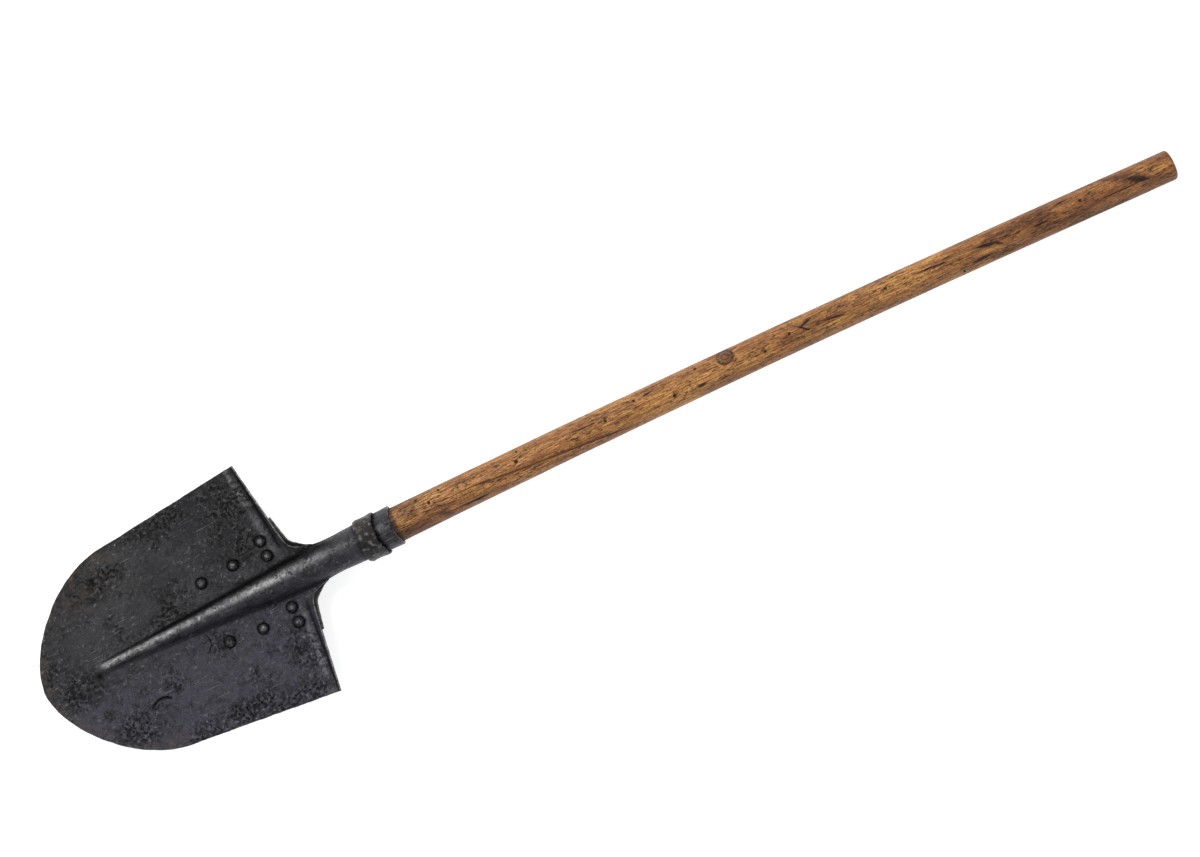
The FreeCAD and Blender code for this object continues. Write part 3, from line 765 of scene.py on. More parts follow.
def whole_skin(side, flat, tread, cone):
    """Both halves of a sheet's outer skin as points and faces. The halves share the crest's points."""
    mirror = np.array([1.0, -1.0, 1.0])
    both = np.concatenate([flat[:, :0:-1] * mirror, flat], 1)
    rows, columns = both.shape[:2]
    half = columns // 2
    points, faces = [both.reshape(-1, 3)], [grid_faces(rows, columns)]
    last = (rows - 1) * columns + np.arange(columns)
    count = rows * columns

    def add_rows(first_row, new_rows, flip):
        """Rows that carry on from points already there."""
        nonlocal count
        width = len(first_row)
        numbers = np.concatenate([first_row, count + np.arange(new_rows.shape[0] * width)])
        quads = numbers[grid_faces(new_rows.shape[0] + 1, width)]
        faces.append(quads[:, ::-1] if flip else quads)
        points.append(new_rows.reshape(-1, 3))
        count += new_rows.shape[0] * width

    add_rows(last[half + RIDGE_COLUMNS:], tread, False)
    add_rows(last[:half - RIDGE_COLUMNS + 1][::-1], tread * mirror, True)
    around = np.concatenate([cone[:, :0:-1] * mirror, cone], 1)
    add_rows(last[half - RIDGE_COLUMNS:half + RIDGE_COLUMNS + 1], around, False)
    points, faces = np.concatenate(points), np.concatenate(faces)
    points[:, 2] += dents(points[:, 0], points[:, 1]) * smooth(SOCKET_START - points[:, 0], -10, 25)
    return points, faces[:, ::-1] if side > 0 else faces


def sheet_values(points, side):
    """Wear with painted highlight, and painted shade, at each point of a skin, from 0 to 1."""
    reach, across, height = points.T
    half_width = np.array([float(ridge_size(min(r, SOCKET_START), side)[0]) for r in reach])
    on_ridge = smooth(reach, 58, 70) if side > 0 else smooth(reach, 175, 190)
    lean = across / half_width
    grain = 0.5 + 0.5 * lumps(points, 14.0, 31) + 0.35 * lumps(points, 4.5, 32)
    neck_fade = 1 - 0.7 * smooth(reach, 292, 326)
    # The crest's band of bare metal sits toward the lit side of the ridge and narrows toward the neck:
    # part wear of the crown, part painted highlight.
    band = 0.17 + 0.42 * np.exp(-np.maximum(0, reach - 62) / 50.0)
    crest = hump(lean, 0.24, band) * on_ridge * neck_fade
    wear_and_highlight = crest * np.clip(0.22 + 1.05 * grain, 0, 1)
    if side > 0:
        wear_and_highlight = np.maximum(wear_and_highlight, 0.85 * hump(reach, 69, 6.0) * hump(across, 1.5, 4.0))
    # Painted shade: a dark line in the ridge's hollow foot on the negative-across side, and a dark band on
    # its upper flank, which turns away from the light.
    foot = hump(lean, -0.98, 0.09) * on_ridge * (1 - smooth(reach, 285, 305))
    upper = hump(lean, 0.76, 0.20) * on_ridge * (1 - smooth(reach, 305, 335))
    shade_and_pits = np.maximum(0.55 * foot, 0.92 * upper)
    if side > 0:
        shade_and_pits = np.maximum(shade_and_pits, 0.95 * hump(reach, 56, 4.5) * hump(across, -6, 3.0))
    inward = (HALF_WIDTH - np.abs(across)) / (HALF_WIDTH - BEND_HALF_WIDTH)
    bend = SHOULDER + (BEND_REACH - SHOULDER) * inward
    past = reach - bend
    wing = smooth(np.abs(across), 24, 34)
    # A painted highlight along the tread's bend line, and painted shade just past it, where the tread
    # turns up.
    wear_and_highlight = np.maximum(wear_and_highlight, 0.33 * hump(past, -5.0, 3.0) * wing * grain)
    shade_and_pits = np.maximum(shade_and_pits, 0.75 * hump(past, 2.2, 1.5) * wing)
    # A painted shadow ring round each rivet head on the sheet.
    for rivet_reach, rivet_across in RIVETS:
        away = np.hypot(reach - rivet_reach, np.abs(across) - rivet_across)
        shade_and_pits = np.maximum(shade_and_pits, 1.0 - smooth(away, 5.8, 7.4))
    # On the blade's half socket: a painted shadow just past the ring's torn far edge, and painted shade at
    # its near edge.
    if side > 0:
        turn = np.arctan2(height, across)
        past_ring = reach - ring_far_edge(turn)
        shade_and_pits = np.maximum(shade_and_pits, hump(past_ring, 0.9, 2.6))
        shade_and_pits = np.maximum(shade_and_pits, 0.6 * hump(reach, RING_START, 1.3))
    return np.clip(wear_and_highlight, 0, 1), np.clip(shade_and_pits, 0, 1)


def pressed_sheet(name, side, nose, edge, wing_columns, outer_half_width, chew):
    """A finished sheet object: its skin, thickened, with its worn places, painted highlight and painted
    shade.
    """
    flat, tread, cone = sheet_skin(side, nose, edge, wing_columns, outer_half_width)
    points, faces = whole_skin(side, flat, tread, cone)
    wear_and_highlight, shade_and_pits = sheet_values(points, side)
    points, faces, source, rim = thicken(points, faces, SHEET, rounding=0.6, chew=chew)
    wear_and_highlight = np.where(rim, 0.62 + 0.3 * lumps(points, 9.0, 41), wear_and_highlight[source])
    shade_and_pits = np.where(rim, 0.0, shade_and_pits[source])
    shown = place(points[:, 0], points[:, 1], points[:, 2])
    out_of_middle = np.hypot(points[:, 0] - SIDE_START[0], points[:, 1])
    nose = smooth(out_of_middle, 84, 106) * (points[:, 0] < SIDE_START[0]) * 0.8
    nose = np.maximum(nose, smooth(points[:, 1], 30, 80) * (1 - smooth(points[:, 0], 90, 165)) * 0.6)
    nose = nose if side > 0 else 0 * nose
    return make_object(name, shown, faces, {"wear_and_highlight": np.clip(wear_and_highlight, 0, 1), "shade_and_pits": shade_and_pits, "nose": nose})


print("sheet rules ready: %d columns over half the ridge" % RIDGE_COLUMNS)

# %% [markdown]
# ## The blade
#
# About 1.6 mm between points is fine enough for the crisp foot of the ridge and the small bend of the
# tread, and still light to move about in the viewport.

# %% Blade
TIP_INSET = 0.3              # the tip and the shoulders stay just inside the frame's box
SHOULDER_HALF_WIDTH = HALF_WIDTH - 0.25
side_slope = (SHOULDER_HALF_WIDTH - SIDE_START[1]) / (SHOULDER - SIDE_START[0])
fullness = 58.0
nose_pull = (SIDE_START[0] - fullness, SIDE_START[1] - fullness * side_slope)
blade_nose = bezier([(TIP_INSET, 0), (TIP_INSET, 38.2), nose_pull, SIDE_START], 300)
blade_edge = np.linspace(SIDE_START, (SHOULDER, SHOULDER_HALF_WIDTH), 190)
blade = pressed_sheet("blade_sheet", 1, blade_nose, blade_edge, 62, SHOULDER_HALF_WIDTH, chew=0.55)
blade.data.materials.append(blade_finish)

# %% [markdown]
# ## The plate behind
#
# A tongue of the same steel doubles the blade where it is levered hardest. It carries the rear half of
# the socket and ends in two tabs that stand up behind the treads with a ragged sheared edge.

# %% Back plate
plate_nose = bezier([(166, 0), (166, 26), (174, 46), (196, 46)], 200)
tab_reach = float(bend_line(TAB_HALF_WIDTH, 3)[-1][0])
plate_edge = bezier([(196, 46), (241, 48), (tab_reach, TAB_HALF_WIDTH)], 92)
plate = pressed_sheet("plate_sheet", -1, plate_nose, plate_edge, 30, TAB_HALF_WIDTH, chew=0.7)
plate.data.materials.append(plate_finish)

# %% [markdown]
# ## Rivets
#
# Eight rivets hold the two sheets, each with a hammered head in front and behind. The head repeats and
# only its place and tilt change, so Geometry Nodes set it: the script makes one point a rivet, each with
# the direction it faces, and the tree puts a domed head on both ends of it. A ball whose lower half is
# pressed almost flat makes a good head, and a little noise pushes its points so that no two are alike.

# %% Rivet points
def joint_facing(reach, across):
    """Unit vector out of the front of the joint between the sheets."""
    step = 0.5
    along = (joint_height(reach + step, across) - joint_height(reach - step, across)) / (2 * step)
    over = (joint_height(reach, across + step) - joint_height(reach, across - step)) / (2 * step)
    return Vector((-float(along), -float(over), 1.0)).normalized()


rivet_seats = [(r, side * a) for side in (1, -1) for r, a in RIVETS]
rivet_mesh = bpy.data.meshes.new("rivet_points")
seat_reach, seat_across = np.array(rivet_seats).T
seat_height = joint_height(seat_reach, seat_across) + dents(seat_reach, seat_across)
rivet_mesh.from_pydata(place(seat_reach, seat_across, seat_height).tolist(), [], [])
keep_values(rivet_mesh, {"facing": [joint_facing(r, a) for r, a in rivet_seats]})
rivet_frame = bpy.data.objects.new("rivet_points", rivet_mesh)
scene.collection.objects.link(rivet_frame)
print("%d rivets" % len(rivet_seats))

# %% Rivet tree
class Tree:
    """A Geometry Nodes tree under construction, with named inputs."""

    def __init__(self, name):
        self.group = bpy.data.node_groups.new(name, "GeometryNodeTree")
        self.sockets = {}
        self.add_socket("Geometry", "NodeSocketGeometry")
        self.group.interface.new_socket("Geometry", in_out="OUTPUT", socket_type="NodeSocketGeometry")
        self.entry = self.group.nodes.new("NodeGroupInput")

    def add_socket(self, name, kind, value=None):
        socket = self.group.interface.new_socket(name, in_out="INPUT", socket_type=kind)
        if value is not None:
            socket.default_value = value
        self.sockets[name] = socket.identifier

    def given(self, name):
        return self.entry.outputs[name]

    def node(self, kind, settings=None, inputs=None):
        node = self.group.nodes.new(kind)
        for name, value in (settings or {}).items():
            setattr(node, name, value)
        for name, value in (inputs or {}).items():
            if isinstance(value, bpy.types.NodeSocket):
                self.group.links.new(value, node.inputs[name])
            else:
                node.inputs[name].default_value = value
        return node

    def math(self, operation, *values):
        return self.node("ShaderNodeMath", {"operation": operation}, dict(enumerate(values))).outputs[0]

    def scaled(self, vector, scale):
        return self.node("ShaderNodeVectorMath", {"operation": "SCALE"},
                         {0: vector, "Scale": scale}).outputs[0]


HEAD_RADIUS, HEAD_HEIGHT = 5.6, 3.4
tree = Tree("rivet_heads")
for label, value in (("Head Radius", HEAD_RADIUS), ("Head Height", HEAD_HEIGHT), ("Half Grip", SHEET),
                     ("Unevenness", 0.55)):
    tree.add_socket(label, "NodeSocketFloat", value * MM)
tree.add_socket("Seed", "NodeSocketInt", 7)
tree.add_socket("Finish", "NodeSocketMaterial")

ball = tree.node("GeometryNodeMeshUVSphere", inputs={"Segments": 40, "Rings": 26, "Radius": 1.0})
where = tree.node("GeometryNodeInputPosition").outputs[0]
axes = tree.node("ShaderNodeSeparateXYZ", inputs={0: where}).outputs
dome = tree.math("MULTIPLY", tree.math("MAXIMUM", axes[2], 0.0), tree.given("Head Height"))
skirt = tree.math("MULTIPLY", tree.math("MINIMUM", axes[2], 0.0), 0.5 * MM)
head_place = tree.node("ShaderNodeCombineXYZ", inputs={
    0: tree.math("MULTIPLY", axes[0], tree.given("Head Radius")),
    1: tree.math("MULTIPLY", axes[1], tree.given("Head Radius")),
    2: tree.math("ADD", dome, skirt)}).outputs[0]
head = tree.node("GeometryNodeSetPosition", inputs={"Geometry": ball.outputs["Mesh"],
                                                           "Position": head_place}).outputs[0]
facing = tree.node("GeometryNodeInputNamedAttribute", {"data_type": "FLOAT_VECTOR"},
                          {"Name": "facing"}).outputs[0]
both_ends = tree.node("GeometryNodeJoinGeometry")
for end_sign in (1.0, -1.0):
    seat = tree.scaled(facing, tree.math("MULTIPLY", tree.given("Half Grip"), end_sign))
    moved = tree.node("GeometryNodeSetPosition", inputs={
        "Geometry": tree.given("Geometry"), "Offset": seat}).outputs[0]
    tilt = tree.node("FunctionNodeAlignRotationToVector", {"axis": "Z"}, {
        "Vector": tree.scaled(facing, end_sign)}).outputs[0]
    size = tree.node("FunctionNodeRandomValue", {"data_type": "FLOAT"}, {
        "Seed": tree.given("Seed")})
    size.inputs[2].default_value, size.inputs[3].default_value = 0.94, 1.03
    placed = tree.node("GeometryNodeInstanceOnPoints", inputs={
        "Points": moved, "Instance": head, "Rotation": tilt, "Scale": size.outputs[1]})
    tree.group.links.new(placed.outputs[0], both_ends.inputs[0])
real = tree.node("GeometryNodeRealizeInstances", inputs={0: both_ends.outputs[0]}).outputs[0]
uneven = tree.node("ShaderNodeTexNoise", {"noise_dimensions": "3D"}, {
    "Vector": tree.node("GeometryNodeInputPosition").outputs[0], "Scale": 230.0, "Detail": 2.0})
push_size = tree.math("MULTIPLY", tree.math("SUBTRACT", uneven.outputs[0], 0.6), tree.given("Unevenness"))
push = tree.scaled(tree.node("GeometryNodeInputNormal").outputs[0], push_size)
rough_heads = tree.node("GeometryNodeSetPosition", inputs={"Geometry": real, "Offset": push}).outputs[0]
smoothed = tree.node("GeometryNodeSetShadeSmooth", inputs={0: rough_heads}).outputs[0]
finished = tree.node("GeometryNodeSetMaterial", inputs={
    "Geometry": smoothed, "Material": tree.given("Finish")}).outputs[0]
leave = tree.group.nodes.new("NodeGroupOutput")
tree.group.links.new(finished, leave.inputs[0])
print("rivet tree has %d nodes" % len(tree.group.nodes))

# %% Rivets
setting = rivet_frame.modifiers.new("rivet_heads", "NODES")
setting.node_group = tree.group
for label, value in (("Head Radius", HEAD_RADIUS * MM), ("Head Height", HEAD_HEIGHT * MM),
                     ("Half Grip", (SHEET + 0.1) * MM), ("Seed", 7), ("Finish", rivet_finish)):
    setting[tree.sockets[label]] = value
evaluated = rivet_frame.evaluated_get(bpy.context.evaluated_depsgraph_get())
heads = bpy.data.meshes.new_from_object(evaluated)
heads.name = "rivets"
rivet_frame.modifiers.clear()
rivets = bpy.data.objects.new("rivets", heads)
scene.collection.objects.link(rivets)
bpy.data.objects.remove(rivet_frame)
# Rivet heads: the crowns are lighter, part wear and part painted highlight; the steep sides and the
# pressed skirt get painted shade.
facing_out = np.abs([v.normal.z for v in heads.vertices])
keep_values(heads, {"wear_and_highlight": 0.45 * smooth(facing_out, 0.93, 1.0),
                    "shade_and_pits": 0.95 * (1 - smooth(facing_out, 0.3, 0.85))})
print("rivets: %d faces" % len(heads.polygons))

# %% [markdown]
# ## The ring and the nail
#
# The ring was bent from bar, lapped on itself and driven up the cone while hot, so it is lumpy, its edge
# toward the pole is torn, and the lap shows as a step on one side. It is a section carried round the
# axis, with the section's far edge moved by noise. The nail behind is a plain turned shape.

# %% Ring
RING_STEPS = 64              # points round the ring's section
# The section from inside its near edge: share of its length, share of its wall.
RING_SECTION = [(0.0, 0.25), (0.0, 0.8), (0.04, 1.0), (0.12, 1.16), (0.2, 1.14), (0.3, 0.97), (0.45, 0.92),
                (0.6, 0.95), (0.75, 1.0), (0.88, 1.03), (0.96, 0.97), (1.0, 0.75), (1.0, 0.2), (0.97, 0.0),
                (0.5, 0.0), (0.03, 0.0)]


def ring_sections(turn):
    """Reach and radius round the ring's section, one row for each turn."""
    far = ring_far_edge(turn)
    around = on_circle(turn)
    near = RING_START + 2.2 - 1.9 * np.maximum(0, np.sin(turn)) + 0.5 * lumps(around, 14.0, 53)
    past_lap = turn - math.radians(188)
    lap = 1.1 * smooth(np.cos(past_lap), 0.93, 0.99) * (np.sin(past_lap) > 0)
    corners = np.array(RING_SECTION + RING_SECTION[:1])
    steps = np.linspace(0, len(RING_SECTION), RING_STEPS, endpoint=False)
    along, out = (np.interp(steps, np.arange(len(corners)), column) for column in corners.T)
    reach = near[:, None] + (far - near)[:, None] * along[None]
    bore = socket_radius(reach) + 0.12
    return reach, bore + out[None] * (RING_WALL - 0.25 + lap[:, None])


turns = np.linspace(0, 2 * math.pi, 160, endpoint=False)
ring_reach, ring_radius = ring_sections(turns)
ring_points = np.stack([ring_reach, ring_radius * np.cos(turns)[:, None],
                        ring_radius * np.sin(turns)[:, None]], -1)
hammered = lumps(ring_points, 8.0, 55) * 0.32 + lumps(ring_points, 3.0, 56) * 0.12 - 0.22
outer_face = smooth(ring_radius - socket_radius(ring_reach), 0.8, 1.6)
swell = 1 + np.minimum(hammered, 0.05) * outer_face / ring_radius
ring_points[..., 1:] *= swell[..., None]
ring_faces = grid_faces(len(turns) + 1, RING_STEPS, closed=True) % (len(turns) * RING_STEPS)
ring_worn = np.clip(outer_face * (0.75 * lumps(ring_points, 4.0, 57) - 0.08), 0, 1)
# Painted shade on the ring's bore and on the inner part of its end faces, next to the socket.
ring_shade = (1 - outer_face) * 0.9
ring = make_object("forged_ring", place(*ring_points.reshape(-1, 3).T), ring_faces[:, ::-1],
                   {"wear_and_highlight": ring_worn.ravel(), "shade_and_pits": ring_shade.ravel()})
ring.data.materials.append(ring_finish)

# %% Nail
def turned(profile, sides):
    """Points and faces of a shape turned about its own axis. The profile runs from pole to pole."""
    turn = np.linspace(0, 2 * math.pi, sides, endpoint=False)
    rows = [np.stack([r * np.cos(turn), r * np.sin(turn), np.full(sides, h)], -1) for h, r in profile]
    points = np.concatenate(rows + [[[0, 0, profile[0][0]]], [[0, 0, profile[-1][0]]]])
    return points, tube_faces(len(profile), sides)


nail_low, nail_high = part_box("socket_nail")
nail_length = (nail_high.z - nail_low.z) / MM
# Height above the head's outer face, and radius there, in mm.
nail_profile = [(0.0, 2.4), (0.25, 3.2), (0.9, 4.1), (1.5, 4.45), (1.9, 4.2), (2.0, 2.1), (2.2, 1.95),
                (nail_length - 4, 1.9), (nail_length - 0.2, 0.55)]
nail_points, nail_faces = turned(nail_profile, 28)
nail_points[:, :2] += 0.18 * lumps(nail_points, 3.0, 61)[:, None]
nail_middle = (nail_low + nail_high) / 2
nail_spots = nail_points * MM + np.array([nail_middle.x, nail_middle.y, nail_low.z])
# The head's face is lighter, the shank darker.
nail = make_object("nail", nail_spots, nail_faces,
                   {"wear_and_highlight": 0.5 * (nail_points[:, 2] < 1.0), "shade_and_pits": 0.6 * (nail_points[:, 2] > 1.8)})
nail.data.materials.append(rivet_finish)

# %% [markdown]
# ## The pole
#
# The pole was shaved from one plank and has bowed sideways, so it is nearly round, a little flat in
# places, thickest at the socket and slimmest at its free end. It is built as rings of points square to
# its own bent line. Each point also keeps where it would be on a straight pole: the grain reads that
# place, so it follows the bow as the real fibres do. Worm holes, the round knot and the long drying
# crack are first made in the shape, and the same marks then tell the finish where to go dark.

# %% Pole line
GRIP, BOW = 120.0, 16.0      # length of the straight free end, and how far the pole bows sideways
WAIST = 860.0
PLUG_START = 204.0           # reach of the tapered end inside the ridge
END_RADIUS, END_ROUNDING = 15.9, 3.6
BEND_SPAN = LENGTH - GRIP - SOCKET_END
ARC_DRIFT = BOW * BEND_SPAN / (BEND_SPAN + 2 * GRIP)


def pole_line(reach):
    """Centre (across, height) and sideways slope of the pole's own line."""
    q = np.maximum(0, reach - SOCKET_END) / BEND_SPAN
    slope = -2 * ARC_DRIFT * np.minimum(q, 1) / BEND_SPAN
    across = -ARC_DRIFT * np.minimum(q, 1) ** 2 + slope * np.maximum(0, reach - (LENGTH - GRIP))
    front_rise, rear_rise = ridge_size(PLUG_START, 1)[1], ridge_size(PLUG_START, -1)[1]
    tip_height = float(joint_height(PLUG_START, 0.0) + front_rise / 2 - rear_rise / 2)
    height = tip_height * np.clip((SOCKET_START - reach) / (SOCKET_START - PLUG_START), 0, 1)
    return across, height, slope


def pole_radius(reach):
    stations = [PLUG_START, SOCKET_START, 374.0, SOCKET_END, WAIST, LENGTH - GRIP, LENGTH]
    return np.interp(reach, stations, [5.0, 15.2, 17.85, 18.1, 16.5, 16.0, END_RADIUS])


# Marks on the upper face, in mm. Worm holes: reach, place across, and size.
WORM_HOLES = [
    (428, 5.8, 1.7), (524.6, 4.4, 1.9), (623, 2.6, 1.4), (696.5, -4.2, 1.7), (797.5, -2.2, 1.7),
    (826.8, 3.6, 1.6), (933, 4.7, 1.5), (1146.8, 4.3, 1.6), (416.8, 13.2, 1.2), (441.8, 13.2, 1.2),
    (528.8, 13.6, 1.2), (726, 11.8, 1.2), (657, 8.9, 1.3), (1013, -13, 1.3)]
# Drying checks: reach, place across, half length, half width, and turn in degrees.
CHECKS = [
    (726, -6.4, 6, 1.2, 4), (671, 9.5, 6, 0.8, 8), (842, 2.5, 8, 1.0, -38), (846, 7.0, 7, 1.1, 14),
    (874, -0.6, 14, 1.1, -7), (1044, 1.9, 11, 1.3, -9), (1054, -0.6, 5, 1.1, -30),
    (1034, -8.8, 11, 1.4, 3), (1003, 7.0, 8, 0.7, -2), (1101, -0.8, 8, 0.9, 2),
    (1183, -3.4, 21, 0.8, 0), (749, -9.0, 7, 0.6, 2), (470, -12.5, 20, 0.8, 0),
    (1208, 0.5, 12, 2.6, -24), (985, 4.0, 16, 0.8, -4), (1128, 10.5, 9, 0.7, 4),
    (600, 6.0, 14, 0.6, -3)]
KNOT = (758.5, 9.5)
print("bow at the free end %.1f mm" % -pole_line(np.array([LENGTH]))[0][0])

# %% Pole
def crack_course(reach):
    """Across the upper face, where the long crack runs at each reach."""
    q = np.clip((reach - 478.0) / 182.0, 0, 1)
    return 1.2 - 15.4 * q ** 0.78


def pole_marks(reach, across, height):
    """Distance fields of the marks, and how deep each point is pressed in, in mm."""
    top = smooth(height, -1.0, 3.0)
    hole = np.full(reach.shape, 9.0)
    for mark_reach, mark_across, size in WORM_HOLES:
        hole = np.minimum(hole, np.hypot(reach - mark_reach, across - mark_across) / size)
    check = np.full(reach.shape, 9.0)
    for mark_reach, mark_across, length, width, turn in CHECKS:
        c, s = math.cos(math.radians(turn)), math.sin(math.radians(turn))
        along, aside = reach - mark_reach, across - mark_across
        away = np.hypot((along * c + aside * s) / length, (aside * c - along * s) / width)
        check = np.minimum(check, away)
    hole, check = hole + 9 * (1 - top), check + 9 * (1 - top)
    knot = np.hypot((reach - KNOT[0]) / 1.25, across - KNOT[1]) + 30 * (1 - top)
    crack = across - crack_course(reach) + 30 * (1 - top)
    runs = smooth(reach, 425, 470) * (1 - smooth(reach, 640, 668))
    depth = 1.5 * hump(hole, 0, 1) + 0.7 * hump(check, 0, 1) + 0.45 * hump(crack, 0, 0.9) * runs
    depth += 0.55 * hump(knot, 6.2, 1.3) - 0.35 * hump(knot, 0, 5.0)
    return hole, check, knot, crack, depth


sides = 92
start_rows = np.linspace(PLUG_START, 376.0, 24)
open_rows = np.linspace(377.5, LENGTH - 5.0, 720)
end_reach = LENGTH - 0.45
edge_turn = np.linspace(0, math.pi / 2, 7)
edge_rows = end_reach - END_ROUNDING + END_ROUNDING * np.sin(edge_turn)
cap_share = np.array([0.85, 0.65, 0.45, 0.25, 0.1, 0.02])
row_reach = np.concatenate([start_rows, open_rows, edge_rows, np.full(len(cap_share), end_reach)])
row_inset = np.concatenate([0 * start_rows, 0 * open_rows, END_ROUNDING * (1 - np.cos(edge_turn)),
                            END_ROUNDING + (END_RADIUS - END_ROUNDING) * (1 - cap_share)])

turn = np.linspace(0, 2 * math.pi, sides, endpoint=False)
radius = (pole_radius(row_reach) - row_inset)[:, None]
reach_grid = np.repeat(row_reach[:, None], sides, 1)
round_spot = np.stack([reach_grid / 3.5, 17 * np.cos(turn) + 0 * radius,
                       17 * np.sin(turn) + 0 * radius], -1)
shaved = 0.22 * lumps(round_spot, 22.0, 71) + 0.10 * lumps(round_spot, 7.0, 72)
shaved += 0.05 * lumps(round_spot * [6, 1, 1], 3.0, 73) - 0.12
shown_share = smooth(row_reach, 386, 400)[:, None] * (radius > 12)
radius = radius + shaved * shown_share
local_across, local_height = radius * np.cos(turn), radius * np.sin(turn)
hole, check, knot, crack, depth = pole_marks(reach_grid, local_across, local_height)
pressed = np.minimum(depth, 1.6) * shown_share
local_across, local_height = local_across - pressed * np.cos(turn), local_height - pressed * np.sin(turn)
centre, lift, slope = pole_line(row_reach)
lean = 1 / np.hypot(1, slope)
pole_spots = place(reach_grid - local_across * (slope * lean)[:, None],
                   centre[:, None] + local_across * lean[:, None], lift[:, None] + local_height)


def with_ends(grid):
    """Values row by row, then the middle of the first row and the middle of the last."""
    return np.concatenate([grid.reshape(-1, *grid.shape[2:]), grid[0].mean(0)[None],
                           grid[-1].mean(0)[None]])


straight = np.stack([reach_grid, local_across, local_height], -1) * MM
end_face = np.repeat((row_inset > 1.2)[:, None], sides, 1).astype(float)
pole_values = {"straight": straight, "hole": hole, "check": check, "knot": knot, "crack": crack,
               "end_face": end_face}
pole = make_object("pole", with_ends(pole_spots), tube_faces(len(row_reach), sides),
                   {label: with_ends(grid) for label, grid in pole_values.items()})

# %% [markdown]
# ## Old oiled wood
#
# The wood shows long fibres, darker late growth in each year's ring, short dark pores that lie with the
# grain, and a century of oil and earth: golden where hands polished it, red-brown toward the free end,
# purple-black where it was wet beside the socket. Growth rings are distance from a pith line outside the
# pole's middle, bent by slow noise; where the pole's surface cuts them, they draw themselves as long
# arches, and round the knot they close up.

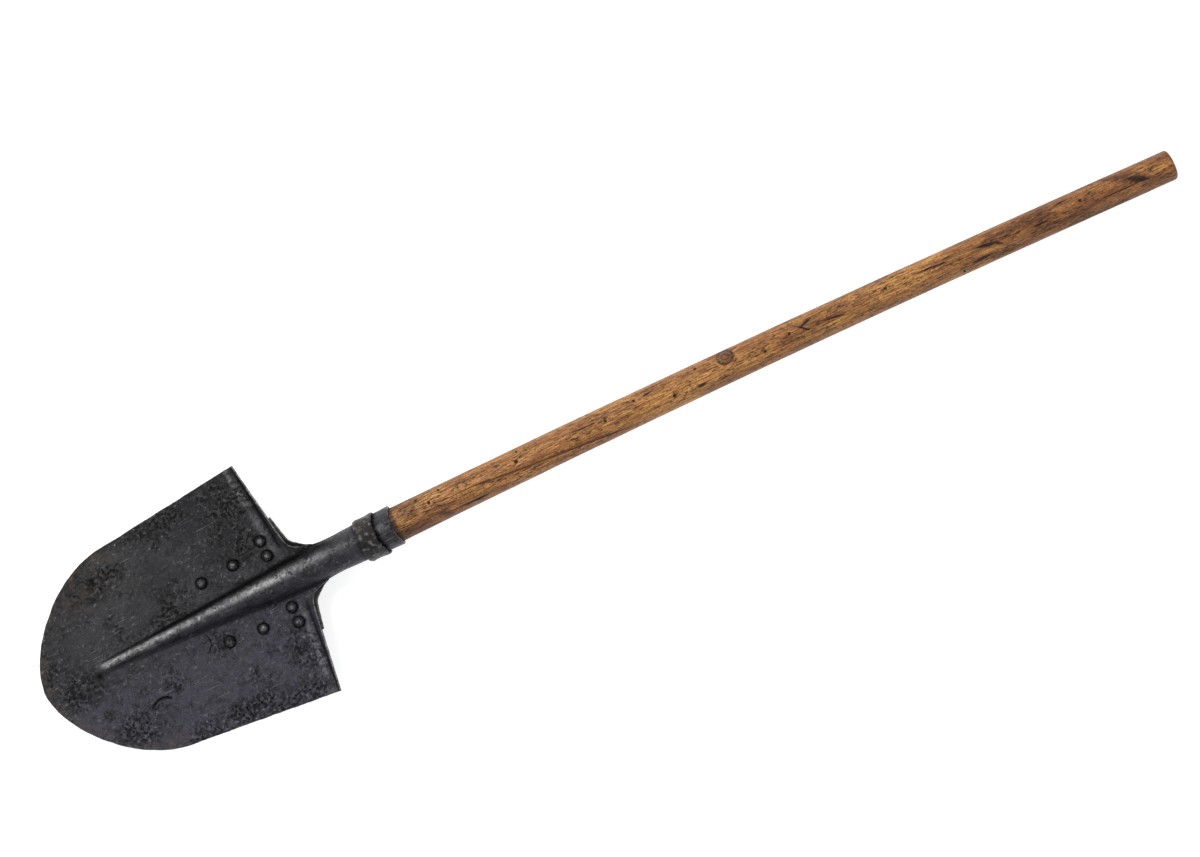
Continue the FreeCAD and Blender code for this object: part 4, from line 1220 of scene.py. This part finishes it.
# %% Wood finish
def oiled_wood():
    finish = Finish("oiled_wood")
    straight = finish.kept("straight", "Vector")
    along, across = finish.parts(straight)[:2]
    knot, crack = finish.kept("knot"), finish.kept("crack")

    def grain(lengthwise, sideways, detail, rough, bend=0.0, shift=(0.0, 0.0, 0.0)):
        """Noise drawn out along the fibres. The first two numbers are its scales."""
        drawn = finish.stretch(straight, (lengthwise, sideways, sideways), 0.0, shift)
        return finish.noise(drawn, 1.0, detail, rough, bend)

    wander = grain(5.0, 34.0, 3.0, 0.5)
    wave = grain(22.0, 90.0, 3.0, 0.55)
    around_knot = finish.rise(knot, 16.0, 2.0)
    pith = finish.length(finish.stretch(straight, (0.0, 1.0, 1.0), 0.0, (0.0, 0.006, 0.030)))
    rings = pith + (wander - 0.5) * 0.022 + (wave - 0.5) * 0.0035 - around_knot * 0.004
    year = finish.noise(finish.node("ShaderNodeCombineXYZ", inputs={"X": rings * 520.0}), 1.0, 2.0, 0.5)
    fibre = grain(26.0, 1500.0, 4.0, 0.65, 0.3)
    flame = grain(48.0, 300.0, 4.0, 0.6, 0.8)
    pores = finish.rise(grain(150.0, 900.0, 3.0, 0.6, shift=(2.0, 5.0, 1.0)), 0.54, 0.62)
    grit = grain(420.0, 760.0, 4.0, 0.7)
    cloud = grain(11.0, 40.0, 4.0, 0.6, 0.3, (0.7, 0.2, 0.9))
    smoke = grain(26.0, 95.0, 5.0, 0.65, 0.7, (4.7, 1.2, 0.3))

    far_end = finish.rise(along, 0.86, 1.20) * 0.75
    near_end = finish.rise(along, 0.485, 0.40) * 0.75
    reddened = (far_end.most(near_end) * finish.rise(cloud, 0.66, 0.34)).clamp()
    # Painted shade: the side of the pole away from the light is darker.
    shaded_low_side = finish.rise(across, -0.004, -0.0165) * 0.35
    damp = finish.rise(along, 0.95, 1.04) * finish.rise(along, 1.26, 1.18) * 0.16 + near_end * 0.34
    stain = finish.rise(smoke + damp, 0.60, 0.78)

    ragged = (flame - 0.5) * 1.1 + (fibre - 0.5) * 0.6
    dark_hole = finish.rise(finish.kept("hole") + ragged * 0.5, 1.25, 0.75)
    dark_check = finish.rise(finish.kept("check") + ragged * 1.6, 1.15, 0.65)
    halo = finish.rise(finish.kept("check") + ragged * 1.5, 3.2, 0.9) * 0.45
    crack_width = finish.rise(along, 0.425, 0.50) * finish.rise(along, 0.668, 0.60) * 0.85
    crack_line = finish.rise(abs(crack + (wave - 0.5) * 1.6) - crack_width, 0.30, -0.25)
    crack_line = crack_line * finish.rise(along, 0.425, 0.45) * finish.rise(along, 0.672, 0.655)
    knot_rings = finish.rise(abs((knot + ragged * 1.8) - 6.4), 1.9, 0.5)
    knot_rings = knot_rings * finish.rise(wave + flame, 0.75, 1.0)
    knot_rings = knot_rings.most(finish.rise(abs((knot + ragged * 1.5) - 2.8), 1.0, 0.3) * 0.7)
    knot_heart = finish.rise(knot + ragged, 8.5, 4.0) * 0.55
    deep = dark_hole.most(dark_check).most(knot_rings * 0.9)

    colour = finish.blend(finish.rise(year * 0.5 + fibre * 0.25 + flame * 0.25, 0.40, 0.60),
                          tone(122, 76, 42), tone(172, 118, 62))
    colour = finish.coats(colour, [
        (finish.rise(cloud * 0.6 + flame * 0.4, 0.46, 0.62) * 0.85, tone(203, 147, 82)),
        (reddened, tone(136, 84, 50)),
        (shaded_low_side * finish.rise(flame, 0.3, 0.6), tone(134, 86, 48)),
        (stain * 0.72, tone(74, 46, 34)),
        (finish.rise(fibre, 0.52, 0.36) * 0.75, tone(84, 49, 26)),
        (finish.rise(grit, 0.48, 0.36) * 0.72, tone(72, 43, 24)),
        (finish.rise(grit * 0.5 + fibre * 0.5, 0.55, 0.68) * 0.45, tone(226, 174, 108)),
        (pores * finish.rise(smoke + near_end * 0.2, 0.42, 0.54) * 0.92, tone(38, 25, 18)),
        (halo.most(knot_heart), tone(96, 58, 36)),
        (crack_line * 0.85, tone(74, 42, 26)),
        (deep * 0.92, tone(34, 24, 19)),
        (finish.kept("end_face") * (0.55 + flame * 0.5), tone(70, 46, 32)),
        (finish.rise(along, 0.3915, 0.3885) * 0.8, tone(44, 27, 22))])

    pitted = dark_hole * 0.7 + dark_check * 0.8 + crack_line * 0.6 + knot_rings * 0.4
    height = (fibre * 0.30 + year * 0.22 + flame * 0.25 + wave * 0.3 + grit * 0.30
              - pores * 0.30 - stain * 0.15 - pitted)
    return finish.surface(height, 0.0013, Base_Color=colour,
                          Roughness=(0.50 + (flame - 0.5) * 0.35 + stain * 0.15 + pitted * 0.2).clamp(),
                          Coat_Weight=(0.05 - stain * 0.05).clamp(), Specular_IOR_Level=0.25)


pole.data.materials.append(oiled_wood())
print("wood finish ready")

# %% [markdown]
# ## Handing the pieces over to the frame
#
# Each finished piece stands for CAD nodes, which stay in the frame for collision but are no longer shown,
# and rides on the one body there is.

# %% Pieces and nodes
rivet_nodes = ["rivet_%s_%d" % (side, number) for side in ("right", "left") for number in (1, 2, 3, 4)]
for piece, nodes, material_slot in (
        (blade, ["blade"], "blade_steel"), (plate, ["back_plate"], "back_plate_steel"),
        (rivets, rivet_nodes, "rivet_steel"), (ring, ["socket_ring"], "ring_steel"),
        (nail, ["socket_nail"], "rivet_steel"), (pole, ["handle"], "handle_wood")):
    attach(piece, "root")
    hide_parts(*nodes)
    print(piece.name, "stands for", len(nodes), "node(s)")

# %% How far the pieces reach past the CAD box
seen_low, seen_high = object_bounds()
past_box = (*(cad_low - seen_low), *(seen_high - cad_high))
print("past the CAD box in mm:", [round(1000 * v, 2) for v in past_box])
